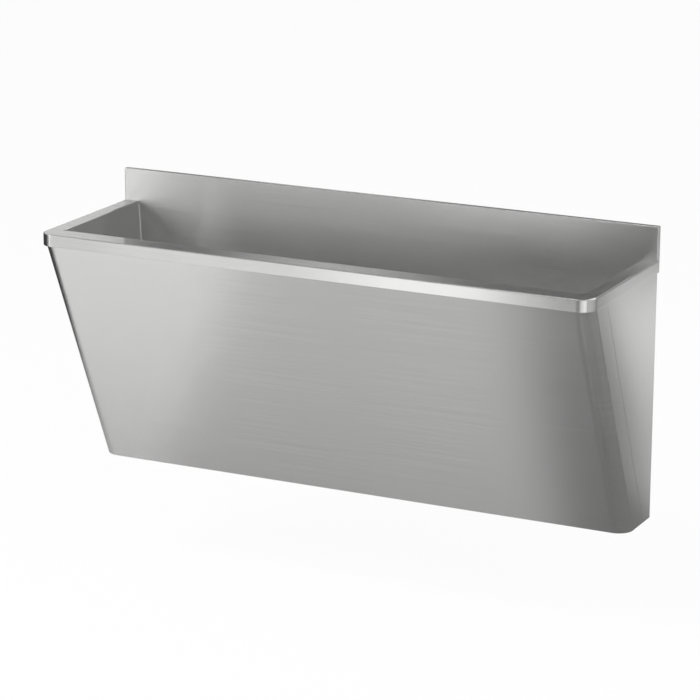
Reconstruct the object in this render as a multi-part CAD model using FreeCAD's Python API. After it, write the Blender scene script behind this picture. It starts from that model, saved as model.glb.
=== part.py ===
import FreeCAD, Part
import math
import os

from FreeCAD import Vector

# A wall-hung surgical scrub sink for two people, in folded stainless sheet.
# Lengths are millimetres. +Z is up, +Y runs into the wall and +X to the right of a person at the sink.
# The origin lies on the wall face, in the middle of the row of wall bolts.

# Overall sizes
width = 1400.0
depth = 420.0
height = 700.0                  # top of the upstand to the skirt's lower edge
ledge_height = 100.0            # top of the ledge above the row of wall bolts
sheet = 1.5
overrun = 5.0                   # how far a cut reaches past the face it opens
fit_gap = 0.3                   # between flat pieces that part from each other

# Upstand against the wall
upstand_height = 80.0
upstand_depth = 12.0
upstand_bend = 2.5
upstand_hem = 20.0

# Rim: the level ledge, its lip into the bowl and the band around it
front_ledge = 55.0
side_ledge = 38.0
band_height = 30.0
band_bend = 3.0
band_hem = 10.0
rim_corner = 35.0
lip_bend = 4.0
lip_height = 8.0

# Bowl
bowl_shallow = 215.0            # ledge to floor at the left end
bowl_deep = 245.0               # ledge to floor at the right end
bowl_corner = 8.0
bowl_end_lean_share = 0.055     # how far an end wall comes in for each unit down
bowl_end_flange = 16.0          # flat rim of a bowl end, from its bend to the weld

# Skirt: a sloping apron that wraps round both corners, and two flat side panels
skirt_foot_depth = 145.0        # wall to the front of the lower edge
skirt_front_inset = 6.0         # behind the face of the band
skirt_side_inset = 4.0
skirt_corner = 38.0
skirt_tuck = 18.0               # how far the skirt goes up behind the band
skirt_return = 20.0             # folded in along the lower edge
apron_wing = 100.0              # apron front to its rear edge, on the sides
seam_gap = 0.6
seam_lap = 15.0                 # joggled strip of the side panel that lies behind the apron
seam_land = 7.0                 # the part of that strip behind the side panel itself
wall_return = 30.0              # rear fold of a side panel, flat on the wall
wall_return_drop = 40.0         # its top below the ledge
lower_hole_rise = 80.0          # lower wall holes above the skirt's lower edge
lower_hole_radius = 4.5
lower_hole_inset = 16.0

# Stiffeners under the ledge
channel_height = 22.0
channel_depth = 35.0
channel_clearance = 0.5
channel_end_gap = 18.0
angle_leg = 24.0
angle_drop = 26.0
angle_sheet = 2.0
angle_front_gap = 14.0
angle_back_gap = 2.0

# Fixing of the apron
bracket_thickness = 3.0
bracket_reach = 40.0
bracket_side_gap = 4.5
bracket_wall_gap = 4.0
screw_radius = 3.0
screw_clearance = 0.3
screw_head_radius = 5.5
screw_head_height = 2.5
screw_length = 14.0
screw_drive_radius = 1.6
screw_drive_depth = 1.4
hexagon_sides = 6
nut_across_flats = 10.0
nut_height = 5.0
thread_clearance = 0.06
screw_place_shares = (0.24, 0.76)

# Hanging rail on the wall and the cleat that hooks over it
rail_end_gap = 150.0            # end of the sink to the end of the rail
rail_sheet = 2.0
rail_below = 30.0
rail_flat_above = 20.0
rail_hook_height = 25.0
rail_standoff = 4.2             # wall to the back of the rail's hook
rail_hole_radius = 4.5
rail_hole_spacing = 340.0
rail_hole_count = 4
cleat_sheet = 1.8
cleat_play = 0.2
cleat_hook = 20.0
cleat_above = 14.0
cleat_below = 6.0

# Ribs under the bowl that bear on the wall
rib_place_share = 0.47          # of the half width, from the middle
rib_thickness = 3.0
rib_reach = 235.0
rib_wall_drop = 365.0
rib_nose_drop = 275.0

# Sound-deadening pads
pad_thickness = 3.0
pad_inner = 30.0
pad_rib_gap = 39.0
pad_wall_gap = 30.0
pad_depth = 190.0

# Bonding stud for the earth wire, on the right side panel
stud_radius = 3.0
stud_length = 18.0
stud_base_radius = 7.0
stud_base_height = 1.0
stud_wall_gap = 150.0
stud_drop = 150.0
washer_radius = 6.2
washer_height = 1.6

# Waste outlet
waste_end_gap = 200.0           # right end of the sink to the waste
waste_wall_gap = 120.0
dish_radius = 48.0
dish_depth = 6.0
waste_hole_radius = 26.0
gasket_radius = 42.0
gasket_height = 2.0
flange_radius = 44.0
flange_plate = 2.0
flange_rim = 3.5
tail_radius = 23.9
tail_bore = 20.0
tail_length = 42.0              # dish to the lower end
lower_gasket_radius = 36.0
lower_gasket_height = 3.0
backnut_across_flats = 60.0
backnut_height = 9.0
joint_clearance = 0.05

# Lift-out strainer
strainer_gap = 0.5
strainer_plate = 2.0
spigot_gap = 1.0
spigot_wall = 1.6
spigot_length = 12.0
strainer_hole_radius = 3.2
strainer_ring_radii = (13.0, 26.0)
strainer_ring_counts = (6, 14)

# Bottle trap
pipe_radius = 20.0
pipe_wall = 1.8
pipe_clearance = 0.2
inlet_washer_height = 2.0
tube_flange_radius = 23.5
tube_flange_height = 3.0
inlet_nut_radius = 31.0
inlet_nut_grip = 14.0
nut_shoulder = 3.0
nut_rib_count = 16
nut_rib_radius = 1.4
trap_neck_radius = 25.0
trap_neck_gap = 4.0
trap_neck_height = 12.0
trap_radius = 36.0
trap_wall = 4.0
trap_height = 57.0
trap_shoulder = 6.0
outlet_drop = 28.0              # shoulder of the trap to the outlet's centre line
outlet_boss_radius = 25.0
outlet_boss_reach = 22.0
outlet_way_radius = 16.5
thread_collar_radius = 32.0
thread_collar_bore = 29.0
thread_collar_height = 14.0
outlet_washer_height = 4.0
outlet_washer_radius = 24.5
outlet_nut_radius = 31.0
outlet_nut_grip = 14.0
pipe_insert = 8.0
dip_length = 50.0               # below the trap body
cup_clearance = 0.4
cup_radius = 36.0
cup_depth = 78.0
cup_floor = 3.0
cup_bore = 30.5
cup_edge = 6.0
cup_rib_count = 16
cup_rib_radius = 1.5
seal_height = 2.0
rosette_radius = 38.0
rosette_height = 7.0
rosette_edge = 2.0

# Places worked out from the sizes
half = width / 2
front = -depth
top = ledge_height + upstand_height
under_ledge = ledge_height - sheet
bowl_top = ledge_height - lip_height
bowl_half = half - side_ledge
bowl_front = front + front_ledge
bowl_back = -upstand_depth
floor_fall = (bowl_deep - bowl_shallow) / (2 * bowl_half)
bowl_weld = bowl_half - bowl_end_lean_share * bowl_deep - bowl_corner - bowl_end_flange
band_foot = ledge_height - band_height
skirt_half = half - skirt_side_inset
skirt_inside = skirt_half - sheet
skirt_front = front + skirt_front_inset
skirt_foot_front = -skirt_foot_depth
skirt_foot = top - height
skirt_top = band_foot + skirt_tuck
skirt_slope = (skirt_foot_front - skirt_front) / (band_foot - skirt_foot)
seam_top = skirt_front + apron_wing
seam_foot = skirt_foot_front + apron_wing
waste_place = half - waste_end_gap
waste_y = -waste_wall_gap
rail_half = half - rail_end_gap
rib_place = half * rib_place_share
pad_outer = rib_place - pad_rib_gap

UP = Vector(0, 0, 1)
ACROSS = Vector(1, 0, 0)


def box(low, high):
    """A block between two opposite corners."""
    return Part.makeBox(high[0] - low[0], high[1] - low[1], high[2] - low[2], Vector(*low))


def prism(points, along):
    """A flat outline of straight lines, carried along a vector."""
    corners = [Vector(*point) for point in points]
    return Part.Face(Part.makePolygon(corners + corners[:1])).extrude(Vector(*along))


def side_plate(outline, low_x, high_x):
    """A plate square to X, from an outline of (y, z) points."""
    return prism([(low_x, y, z) for y, z in outline], (high_x - low_x, 0, 0))


def tray_face(half_span, front_y, back_y, radius, z):
    """A level face with a straight back and two front corners, round where the radius allows."""
    left_back = Vector(-half_span, back_y, z)
    right_back = Vector(half_span, back_y, z)
    if radius <= 0:
        left_front = Vector(-half_span, front_y, z)
        right_front = Vector(half_span, front_y, z)
        return Part.Face(Part.makePolygon([left_back, left_front, right_front, right_back, left_back]))
    bulge = radius * (1 - math.sqrt(0.5))
    starts = []
    for side in (-1, 1):
        on_side = Vector(side * half_span, front_y + radius, z)
        middle = Vector(side * (half_span - bulge), front_y + bulge, z)
        on_front = Vector(side * (half_span - radius), front_y, z)
        starts.append((on_side, middle, on_front))
    (left_side, left_middle, left_front), (right_side, right_middle, right_front) = starts
    edges = [
        Part.makeLine(left_back, left_side),
        Part.Arc(left_side, left_middle, left_front).toShape(),
        Part.makeLine(left_front, right_front),
        Part.Arc(right_front, right_middle, right_side).toShape(),
        Part.makeLine(right_side, right_back),
        Part.makeLine(right_back, left_back),
    ]
    return Part.Face(Part.Wire(edges))


def hull(corners):
    """A solid with four top corners and four bottom corners, each in the same turning order."""
    top_ring, foot_ring = corners
    faces = [top_ring, foot_ring]
    for index in range(4):
        following = (index + 1) % 4
        faces.append((top_ring[index], top_ring[following], foot_ring[following], foot_ring[index]))
    made = []
    for ring_points in faces:
        vectors = [Vector(*point) for point in ring_points]
        made.append(Part.Face(Part.makePolygon(vectors + vectors[:1])))
    solid = Part.Solid(Part.Shell(made))
    if solid.Volume < 0:
        solid.reverse()
    return solid


def chosen_edges(shape, wanted):
    """The edges whose end points and middle all pass a test."""
    kept = []
    for edge in shape.Edges:
        middle = edge.valueAt((edge.FirstParameter + edge.LastParameter) / 2)
        points = [vertex.Point for vertex in edge.Vertexes] + [middle]
        if all(wanted(point) for point in points):
            kept.append(edge)
    return kept


def largest(shape):
    """The largest solid of a shape, without the crumbs that a cut leaves."""
    return max(shape.Solids, key=lambda solid: solid.Volume)


def near(value, target):
    """Whether two lengths are the same, as far as the model goes."""
    return abs(value - target) < sheet / 100


def turned(outline, x, y):
    """A round piece from (radius, height) points, turned about an upright line."""
    corners = [Vector(radius, 0, height) for radius, height in outline]
    face = Part.Face(Part.makePolygon(corners + corners[:1]))
    solid = face.revolve(Vector(0, 0, 0), UP, 360)
    solid.translate(Vector(x, y, 0))
    return solid


def towards_wall(shape, x, y, z):
    """Lays a round piece made about an upright line at the origin so that its height runs to the wall."""
    laid = shape.copy()
    laid.rotate(Vector(0, 0, 0), ACROSS, -90)
    laid.translate(Vector(x, y, z))
    return laid


def rod(radius, low, high, x, y):
    """An upright round bar."""
    return Part.makeCylinder(radius, high - low, Vector(x, y, low))


def pipe(radius, bore, low, high, x=0.0, y=0.0):
    """An upright ring or tube."""
    return turned([(bore, low), (radius, low), (radius, high), (bore, high)], x, y)


def hexagon(across_flats, low, high, x, y):
    """An upright six-sided bar."""
    corner = across_flats / 2 / math.cos(math.pi / hexagon_sides)
    points = []
    for index in range(hexagon_sides):
        angle = 2 * math.pi * index / hexagon_sides
        points.append((x + corner * math.cos(angle), y + corner * math.sin(angle), low))
    return prism(points, (0, 0, high - low))


def ribbed(body, radius, rib_radius, count, low, high, x=0.0, y=0.0):
    """A round body with upright grip ribs on its rim."""
    ribs = []
    for index in range(count):
        angle = 2 * math.pi * index / count
        ribs.append(rod(rib_radius, low, high, x + radius * math.cos(angle), y + radius * math.sin(angle)))
    return body.fuse(ribs).removeSplitter()


def mirrored(shape):
    """The left-hand copy of a right-hand piece."""
    return shape.mirror(Vector(0, 0, 0), ACROSS)


def floor_height(x):
    """Height of the bowl's floor at a place along it."""
    middle = ledge_height - (bowl_shallow + bowl_deep) / 2
    return middle - floor_fall * x


def bowl_solid(wall, radius):
    """The bowl's hollow, grown outwards by a wall, with round edges between its walls and floor."""
    end_x = bowl_half + wall * math.hypot(1, bowl_end_lean_share)
    front_y = bowl_front - wall * math.hypot(1, skirt_slope)
    back_y = bowl_back + wall
    lowered = wall * math.hypot(1, floor_fall)
    mid_foot = end_x - bowl_end_lean_share * (bowl_top - floor_height(0) + lowered)
    ring_top = []
    ring_foot = []
    for side, at_front in ((-1, False), (-1, True), (1, True), (1, False)):
        foot_x = side * mid_foot / (1 + side * bowl_end_lean_share * floor_fall)
        foot_z = floor_height(foot_x) - lowered
        slope_y = front_y + skirt_slope * (bowl_top - foot_z)
        ring_top.append((side * end_x, front_y if at_front else back_y, bowl_top))
        ring_foot.append((foot_x, slope_y if at_front else back_y, foot_z))
    block = hull((ring_top, ring_foot))
    rounded = [edge for edge in block.Edges if not all(near(vertex.Z, bowl_top) for vertex in edge.Vertexes)]
    return block.makeFillet(radius, rounded)


def make_upstand():
    """Splashback: a folded sheet with a top, two closed ends and a hem on the wall."""
    outer = box((-half, -upstand_depth, ledge_height), (half, 0, top))
    edges = [edge for edge in outer.Edges if all(near(v.Y, -upstand_depth) for v in edge.Vertexes)
             and edge.BoundBox.ZMax > ledge_height + upstand_bend]
    outer = outer.makeFillet(upstand_bend, edges)
    inner = box((-half + sheet, -upstand_depth + sheet, ledge_height - overrun), (half - sheet, overrun, top - sheet))
    shell = outer.cut(inner)
    hem = box((-half + sheet, -sheet, top - upstand_hem), (half - sheet, 0, top - sheet))
    skirting = box((-bowl_half - lip_bend, -upstand_depth, bowl_top),
                   (bowl_half + lip_bend, -upstand_depth + sheet, ledge_height))
    return shell.fuse([hem, skirting]).removeSplitter()


def make_rim():
    """Ledge with rounded front corners, the band that hangs from it and the lip that turns into the bowl."""
    outer = tray_face(half, front, 0, rim_corner, band_foot).extrude(UP * band_height)
    top_edges = chosen_edges(outer, lambda point: near(point.z, ledge_height))
    outer = outer.makeFillet(band_bend, [edge for edge in top_edges if edge.CenterOfMass.y < -band_bend])
    inner = tray_face(half - sheet, front + sheet, overrun, rim_corner - sheet, band_foot - overrun)
    inner = inner.extrude(UP * (band_height + overrun - sheet))
    rim = outer.cut(inner)
    hem = tray_face(half - sheet, front + sheet, 0, rim_corner - sheet, band_foot).extrude(UP * band_hem)
    hem_core = tray_face(half - 2 * sheet, front + 2 * sheet, overrun, rim_corner - 2 * sheet, band_foot)
    hem = hem.cut(hem_core.extrude(UP * band_hem))
    lip = tray_face(bowl_half + sheet, bowl_front - sheet, 0, bowl_corner + sheet, bowl_top)
    lip = lip.extrude(UP * lip_height)
    opening = tray_face(bowl_half, bowl_front, overrun, bowl_corner, bowl_top)
    rim = rim.fuse([hem, lip]).removeSplitter()
    rim = rim.cut(opening.extrude(UP * (lip_height + overrun)))
    rim = rim.makeFillet(lip_bend - sheet, chosen_edges(
        rim, lambda point: near(point.z, under_ledge) and abs(point.x) < bowl_half + 2 * sheet
        and point.y > bowl_front - 2 * sheet))
    return rim.makeFillet(lip_bend, chosen_edges(
        rim, lambda point: near(point.z, ledge_height) and abs(point.x) < bowl_half + sheet
        and point.y > bowl_front - sheet))


def make_bowl_sheet():
    """The whole bowl: sloping front wall, two end walls, rear wall and a floor that falls to the waste."""
    hollow = bowl_solid(0.0, bowl_corner)
    outside = bowl_solid(sheet, bowl_corner + sheet)
    dish_floor = floor_height(waste_place) - dish_depth
    dish_top = dish_floor + dish_depth + overrun
    dish_outside = rod(dish_radius + sheet, dish_floor - sheet, dish_top, waste_place, waste_y)
    dish_inside = rod(dish_radius, dish_floor, dish_top, waste_place, waste_y)
    hole = rod(waste_hole_radius, dish_floor - sheet - overrun, dish_floor + overrun, waste_place, waste_y)
    return outside.fuse(dish_outside).cut(hollow).cut(dish_inside).cut(hole).removeSplitter()


def make_bowl():
    """The bowl's three sheets, welded edge to edge: the folded trough and two pressed ends."""
    bowl = make_bowl_sheet()
    reach = bowl.BoundBox
    middle = box((-bowl_weld, reach.YMin - overrun, reach.ZMin - overrun),
                 (bowl_weld, reach.YMax + overrun, reach.ZMax + overrun))
    ends = sorted(bowl.cut(middle).Solids, key=lambda solid: solid.CenterOfMass.x)
    return {"bowl": bowl.common(middle), "bowl_end_left": ends[0], "bowl_end_right": ends[-1]}


def skirt_ring(wall, inset, back_y, z, front_y):
    """A level U-shaped face: the skirt's outline at one height, as wide as a wall."""
    outer = tray_face(skirt_half - inset, front_y + inset, back_y, skirt_corner - inset, z)
    grown = inset + wall
    inner = tray_face(skirt_half - grown, front_y + grown, back_y + overrun, skirt_corner - grown, z)
    return outer.cut(inner).Faces[0]


def make_apron():
    """Sloping front of the skirt, wrapped round both corners, with its tuck, lower return and screw holes."""
    climb = Vector(0, skirt_front - skirt_foot_front, band_foot - skirt_foot)
    slope = skirt_ring(sheet, 0.0, seam_foot, skirt_foot, skirt_foot_front).extrude(climb)
    tuck = skirt_ring(sheet, 0.0, seam_top, band_foot, skirt_front).extrude(UP * skirt_tuck)
    fold = skirt_ring(skirt_return, 0.0, seam_foot - seam_gap, skirt_foot, skirt_foot_front).extrude(UP * sheet)
    apron = slope.fuse([tuck, fold]).removeSplitter()
    hole_radius = screw_radius + screw_clearance
    for x, y in screw_places():
        apron = apron.cut(rod(hole_radius, skirt_foot - overrun, skirt_foot + sheet + overrun, x, y))
    return apron


def screw_places():
    """Where the apron's screws stand, on the straight part of each wing's lower return."""
    start = skirt_foot_front + skirt_corner
    x = skirt_half - skirt_return / 2
    return [(side * x, start + (seam_foot - start) * share) for side in (-1, 1) for share in screw_place_shares]


def seam_strip(low_shift, high_shift, low_x, high_x, foot):
    """A strip along the seam's line, between two distances behind it, with a level lower end."""
    rise = foot - skirt_foot
    foot_y = seam_foot - skirt_slope * rise
    outline = [
        (foot_y + low_shift, foot),
        (seam_top + low_shift, band_foot),
        (seam_top + low_shift, skirt_top),
        (seam_top + high_shift, skirt_top),
        (seam_top + high_shift, band_foot),
        (foot_y + high_shift, foot),
    ]
    return side_plate(outline, low_x, high_x)


def make_side_panel():
    """Right side panel: a flat plate with a joggled front edge, a lower return and a fold on the wall."""
    outline = [
        (0, skirt_top),
        (0, skirt_foot),
        (seam_foot + seam_gap, skirt_foot),
        (seam_top + seam_gap, band_foot),
        (seam_top + seam_gap, skirt_top),
    ]
    plate = side_plate(outline, skirt_inside, skirt_half)
    strip_foot = skirt_foot + sheet + fit_gap
    strip_inside = skirt_inside - fit_gap - sheet
    strip = seam_strip(-seam_lap, seam_land, strip_inside, skirt_inside - fit_gap, strip_foot)
    joggle = seam_strip(seam_gap, seam_land, strip_inside, skirt_inside + sheet / 2, strip_foot)
    fold = box((skirt_half - skirt_return, seam_foot + seam_gap, skirt_foot), (skirt_inside, 0, skirt_foot + sheet))
    wall_fold = box((skirt_inside - wall_return, -sheet, skirt_foot),
                    (skirt_inside, 0, ledge_height - wall_return_drop))
    panel = plate.fuse([strip, joggle, fold, wall_fold]).removeSplitter()
    hole = towards_wall(rod(lower_hole_radius, -sheet - overrun, overrun, 0, 0),
                        skirt_inside - lower_hole_inset, 0, skirt_foot + lower_hole_rise)
    return panel.cut(hole)


def make_front_channel():
    """Channel under the front ledge, open downwards, that stiffens it and steadies the apron's upper edge."""
    end = skirt_half - skirt_corner - channel_end_gap
    front_y = skirt_front + sheet + channel_clearance
    back_y = front_y + channel_depth
    outer = box((-end, front_y, under_ledge - channel_height), (end, back_y, under_ledge))
    inner = box((-end - overrun, front_y + sheet, under_ledge - channel_height - overrun),
                (end + overrun, back_y - sheet, under_ledge - sheet))
    return outer.cut(inner)


def make_ledge_angle():
    """Right angle bar that joins the side panel to the ledge."""
    front_y = seam_top + angle_front_gap
    back_y = -upstand_depth - angle_back_gap
    level = box((skirt_inside - angle_leg, front_y, under_ledge - angle_sheet), (skirt_inside, back_y, under_ledge))
    upright = box((skirt_inside - angle_sheet, front_y, under_ledge - angle_drop), (skirt_inside, back_y, under_ledge))
    return level.fuse(upright).removeSplitter()


def make_bracket():
    """Right plate on the side panel's lower return that carries the apron's screws."""
    low_x = skirt_inside - bracket_side_gap - bracket_reach
    high_x = skirt_inside - bracket_side_gap
    plate = box((low_x, skirt_foot_front + skirt_corner, skirt_foot + sheet),
                (high_x, -bracket_wall_gap, skirt_foot + sheet + bracket_thickness))
    for x, y in screw_places():
        plate = plate.cut(rod(screw_radius + screw_clearance, skirt_foot,
                              skirt_foot + sheet + bracket_thickness + overrun, x, y))
    return plate


def make_screws():
    """Pan-head screws that hold the apron up, one solid each."""
    screws = []
    for x, y in screw_places():
        head = rod(screw_head_radius, skirt_foot - screw_head_height, skirt_foot, x, y)
        head = head.makeFillet(screw_head_height / 2, chosen_edges(
            head, lambda point: near(point.z, skirt_foot - screw_head_height)))
        shank = rod(screw_radius, skirt_foot, skirt_foot + screw_length, x, y)
        drive = hexagon(2 * screw_drive_radius, skirt_foot - screw_head_height,
                        skirt_foot - screw_head_height + screw_drive_depth, x, y)
        screws.append(head.fuse(shank).removeSplitter().cut(drive))
    return Part.makeCompound(screws)


def make_nuts():
    """Weld nuts on the brackets, one solid each."""
    low = skirt_foot + sheet + bracket_thickness
    nuts = []
    for x, y in screw_places():
        nut = hexagon(nut_across_flats, low, low + nut_height, x, y)
        nuts.append(nut.cut(rod(screw_radius + thread_clearance, low - overrun, low + nut_height + overrun, x, y)))
    return Part.makeCompound(nuts)


def rail_hole_places():
    """Places of the wall bolts along the rail."""
    first = -rail_hole_spacing * (rail_hole_count - 1) / 2
    return [first + rail_hole_spacing * index for index in range(rail_hole_count)]


def make_wall_rail():
    """Rail bolted to the wall, with a hook that stands off it along the upper edge."""
    hook_front = -rail_standoff - rail_sheet
    hook_top = rail_flat_above + rail_hook_height
    outline = [
        (0, -rail_below),
        (0, rail_flat_above),
        (-rail_standoff, rail_flat_above),
        (-rail_standoff, hook_top),
        (hook_front, hook_top),
        (hook_front, rail_flat_above - rail_sheet),
        (-rail_sheet, rail_flat_above - rail_sheet),
        (-rail_sheet, -rail_below),
    ]
    rail = side_plate(outline, -rail_half, rail_half)
    hole = towards_wall(rod(rail_hole_radius, -rail_sheet - overrun, overrun, 0, 0), 0, 0, 0)
    for x in rail_hole_places():
        rail = rail.cut(hole.translated(Vector(x, 0, 0)))
    return rail


def make_cleat():
    """Folded strip on the back of the sink that hooks over the wall rail."""
    rest = rail_flat_above + rail_hook_height
    back = -upstand_depth + sheet
    hook_front = -rail_standoff + cleat_play
    outline = [
        (back, rest - cleat_below),
        (back, rest + cleat_above),
        (back + cleat_sheet, rest + cleat_above),
        (back + cleat_sheet, rest + cleat_sheet),
        (hook_front + cleat_sheet, rest + cleat_sheet),
        (hook_front + cleat_sheet, rest - cleat_hook),
        (hook_front, rest - cleat_hook),
        (hook_front, rest),
        (back + cleat_sheet, rest),
        (back + cleat_sheet, rest - cleat_below),
    ]
    return side_plate(outline, -rail_half, rail_half)


def make_rib(place):
    """Upright rib between the wall and the underside of the bowl, at a place along the sink."""
    outline = [
        (0, floor_height(place)),
        (0, ledge_height - rib_wall_drop),
        (-rib_reach, ledge_height - rib_nose_drop),
        (-rib_reach, floor_height(place)),
    ]
    rib = side_plate(outline, place - rib_thickness / 2, place + rib_thickness / 2)
    return largest(rib.cut(bowl_solid(sheet, bowl_corner + sheet)))


def make_pad(low_x, high_x):
    """Rubber pad glued under the bowl's floor, so it takes the floor's slope."""
    front_y = -pad_wall_gap - pad_depth
    below = sheet * math.hypot(1, floor_fall)
    low = floor_height(low_x) - below
    high = floor_height(high_x) - below
    outline = [
        (low_x, front_y, low),
        (high_x, front_y, high),
        (high_x, front_y, high - pad_thickness),
        (low_x, front_y, low - pad_thickness),
    ]
    return prism(outline, (0, pad_depth, 0))


def make_earth_parts():
    """Welded stud with a toothed washer and a nut, along X on the right side panel."""
    place = Vector(skirt_inside, -stud_wall_gap, ledge_height - stud_drop)
    stud = turned([(0, 0), (stud_base_radius, 0), (stud_base_radius, stud_base_height),
                   (stud_radius, stud_base_height), (stud_radius, stud_length), (0, stud_length)], 0, 0)
    washer = pipe(washer_radius, stud_radius + joint_clearance, stud_base_height, stud_base_height + washer_height)
    nut_low = stud_base_height + washer_height
    nut = hexagon(nut_across_flats, nut_low, nut_low + nut_height, 0, 0)
    nut = nut.cut(rod(stud_radius + joint_clearance, nut_low - overrun, nut_low + nut_height + overrun, 0, 0))
    placed = []
    for piece in (stud, washer, nut):
        piece.rotate(Vector(0, 0, 0), Vector(0, 1, 0), -90)
        piece.translate(place)
        placed.append(piece)
    return placed


def make_waste(dish_floor):
    """Waste outlet pieces: flange with its tail, gaskets and backnut."""
    x = waste_place
    y = waste_y
    seat = dish_floor + gasket_height
    plate_top = seat + flange_plate
    tail_end = dish_floor - tail_length
    flange = turned([
        (tail_bore, tail_end),
        (tail_radius, tail_end),
        (tail_radius, seat),
        (flange_radius, seat),
        (flange_radius, plate_top + strainer_plate),
        (flange_radius - flange_rim, plate_top + strainer_plate),
        (flange_radius - flange_rim, plate_top),
        (tail_bore, plate_top),
    ], x, y)
    top_gasket = pipe(gasket_radius, waste_hole_radius, dish_floor, seat, x, y)
    under_dish = dish_floor - sheet
    low_gasket = pipe(lower_gasket_radius, tail_radius + joint_clearance,
                      under_dish - lower_gasket_height, under_dish, x, y)
    nut_top = under_dish - lower_gasket_height
    nut = hexagon(backnut_across_flats, nut_top - backnut_height, nut_top, x, y)
    nut = nut.cut(rod(tail_radius + joint_clearance, nut_top - backnut_height - overrun, nut_top + overrun, x, y))
    return {"waste_flange": flange, "waste_gasket": top_gasket, "underside_gasket": low_gasket, "waste_backnut": nut}


def make_strainer(plate_top):
    """Perforated disc with a short spigot that drops into the waste flange."""
    x = waste_place
    y = waste_y
    disc_radius = flange_radius - flange_rim - strainer_gap
    spigot_radius = tail_bore - spigot_gap
    disc = rod(disc_radius, plate_top, plate_top + strainer_plate, x, y)
    holes = [(0.0, 0.0)]
    for radius, count in zip(strainer_ring_radii, strainer_ring_counts):
        for index in range(count):
            angle = 2 * math.pi * index / count
            holes.append((radius * math.cos(angle), radius * math.sin(angle)))
    for hole_x, hole_y in holes:
        disc = disc.cut(rod(strainer_hole_radius, plate_top - overrun, plate_top + strainer_plate + overrun,
                            x + hole_x, y + hole_y))
    spigot = pipe(spigot_radius, spigot_radius - spigot_wall, plate_top - spigot_length, plate_top, x, y)
    return disc.fuse(spigot).removeSplitter()


def make_inlet(tail_end):
    """Washer, ribbed nut and dip tube that join the trap to the waste."""
    x = waste_place
    y = waste_y
    washer_foot = tail_end - inlet_washer_height
    flange_foot = washer_foot - tube_flange_height
    nut_foot = flange_foot - nut_shoulder
    washer = pipe(tube_flange_radius, pipe_radius - pipe_wall, washer_foot, tail_end, x, y)
    nut = turned([
        (pipe_radius + pipe_clearance, nut_foot),
        (inlet_nut_radius, nut_foot),
        (inlet_nut_radius, tail_end + inlet_nut_grip),
        (tail_radius + joint_clearance, tail_end + inlet_nut_grip),
        (tail_radius + joint_clearance, flange_foot),
        (pipe_radius + pipe_clearance, flange_foot),
    ], x, y)
    nut = ribbed(nut, inlet_nut_radius, nut_rib_radius, nut_rib_count, nut_foot, tail_end + inlet_nut_grip, x, y)
    trap_top = nut_foot - trap_neck_gap
    body_foot = trap_top - trap_neck_height - trap_height
    dip_foot = body_foot - dip_length
    tube = turned([
        (pipe_radius - pipe_wall, dip_foot),
        (pipe_radius, dip_foot),
        (pipe_radius, flange_foot),
        (tube_flange_radius, flange_foot),
        (tube_flange_radius, washer_foot),
        (pipe_radius - pipe_wall, washer_foot),
    ], x, y)
    return {"inlet_washer": washer, "inlet_nut": nut, "dip_tube": tube}, trap_top


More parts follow.
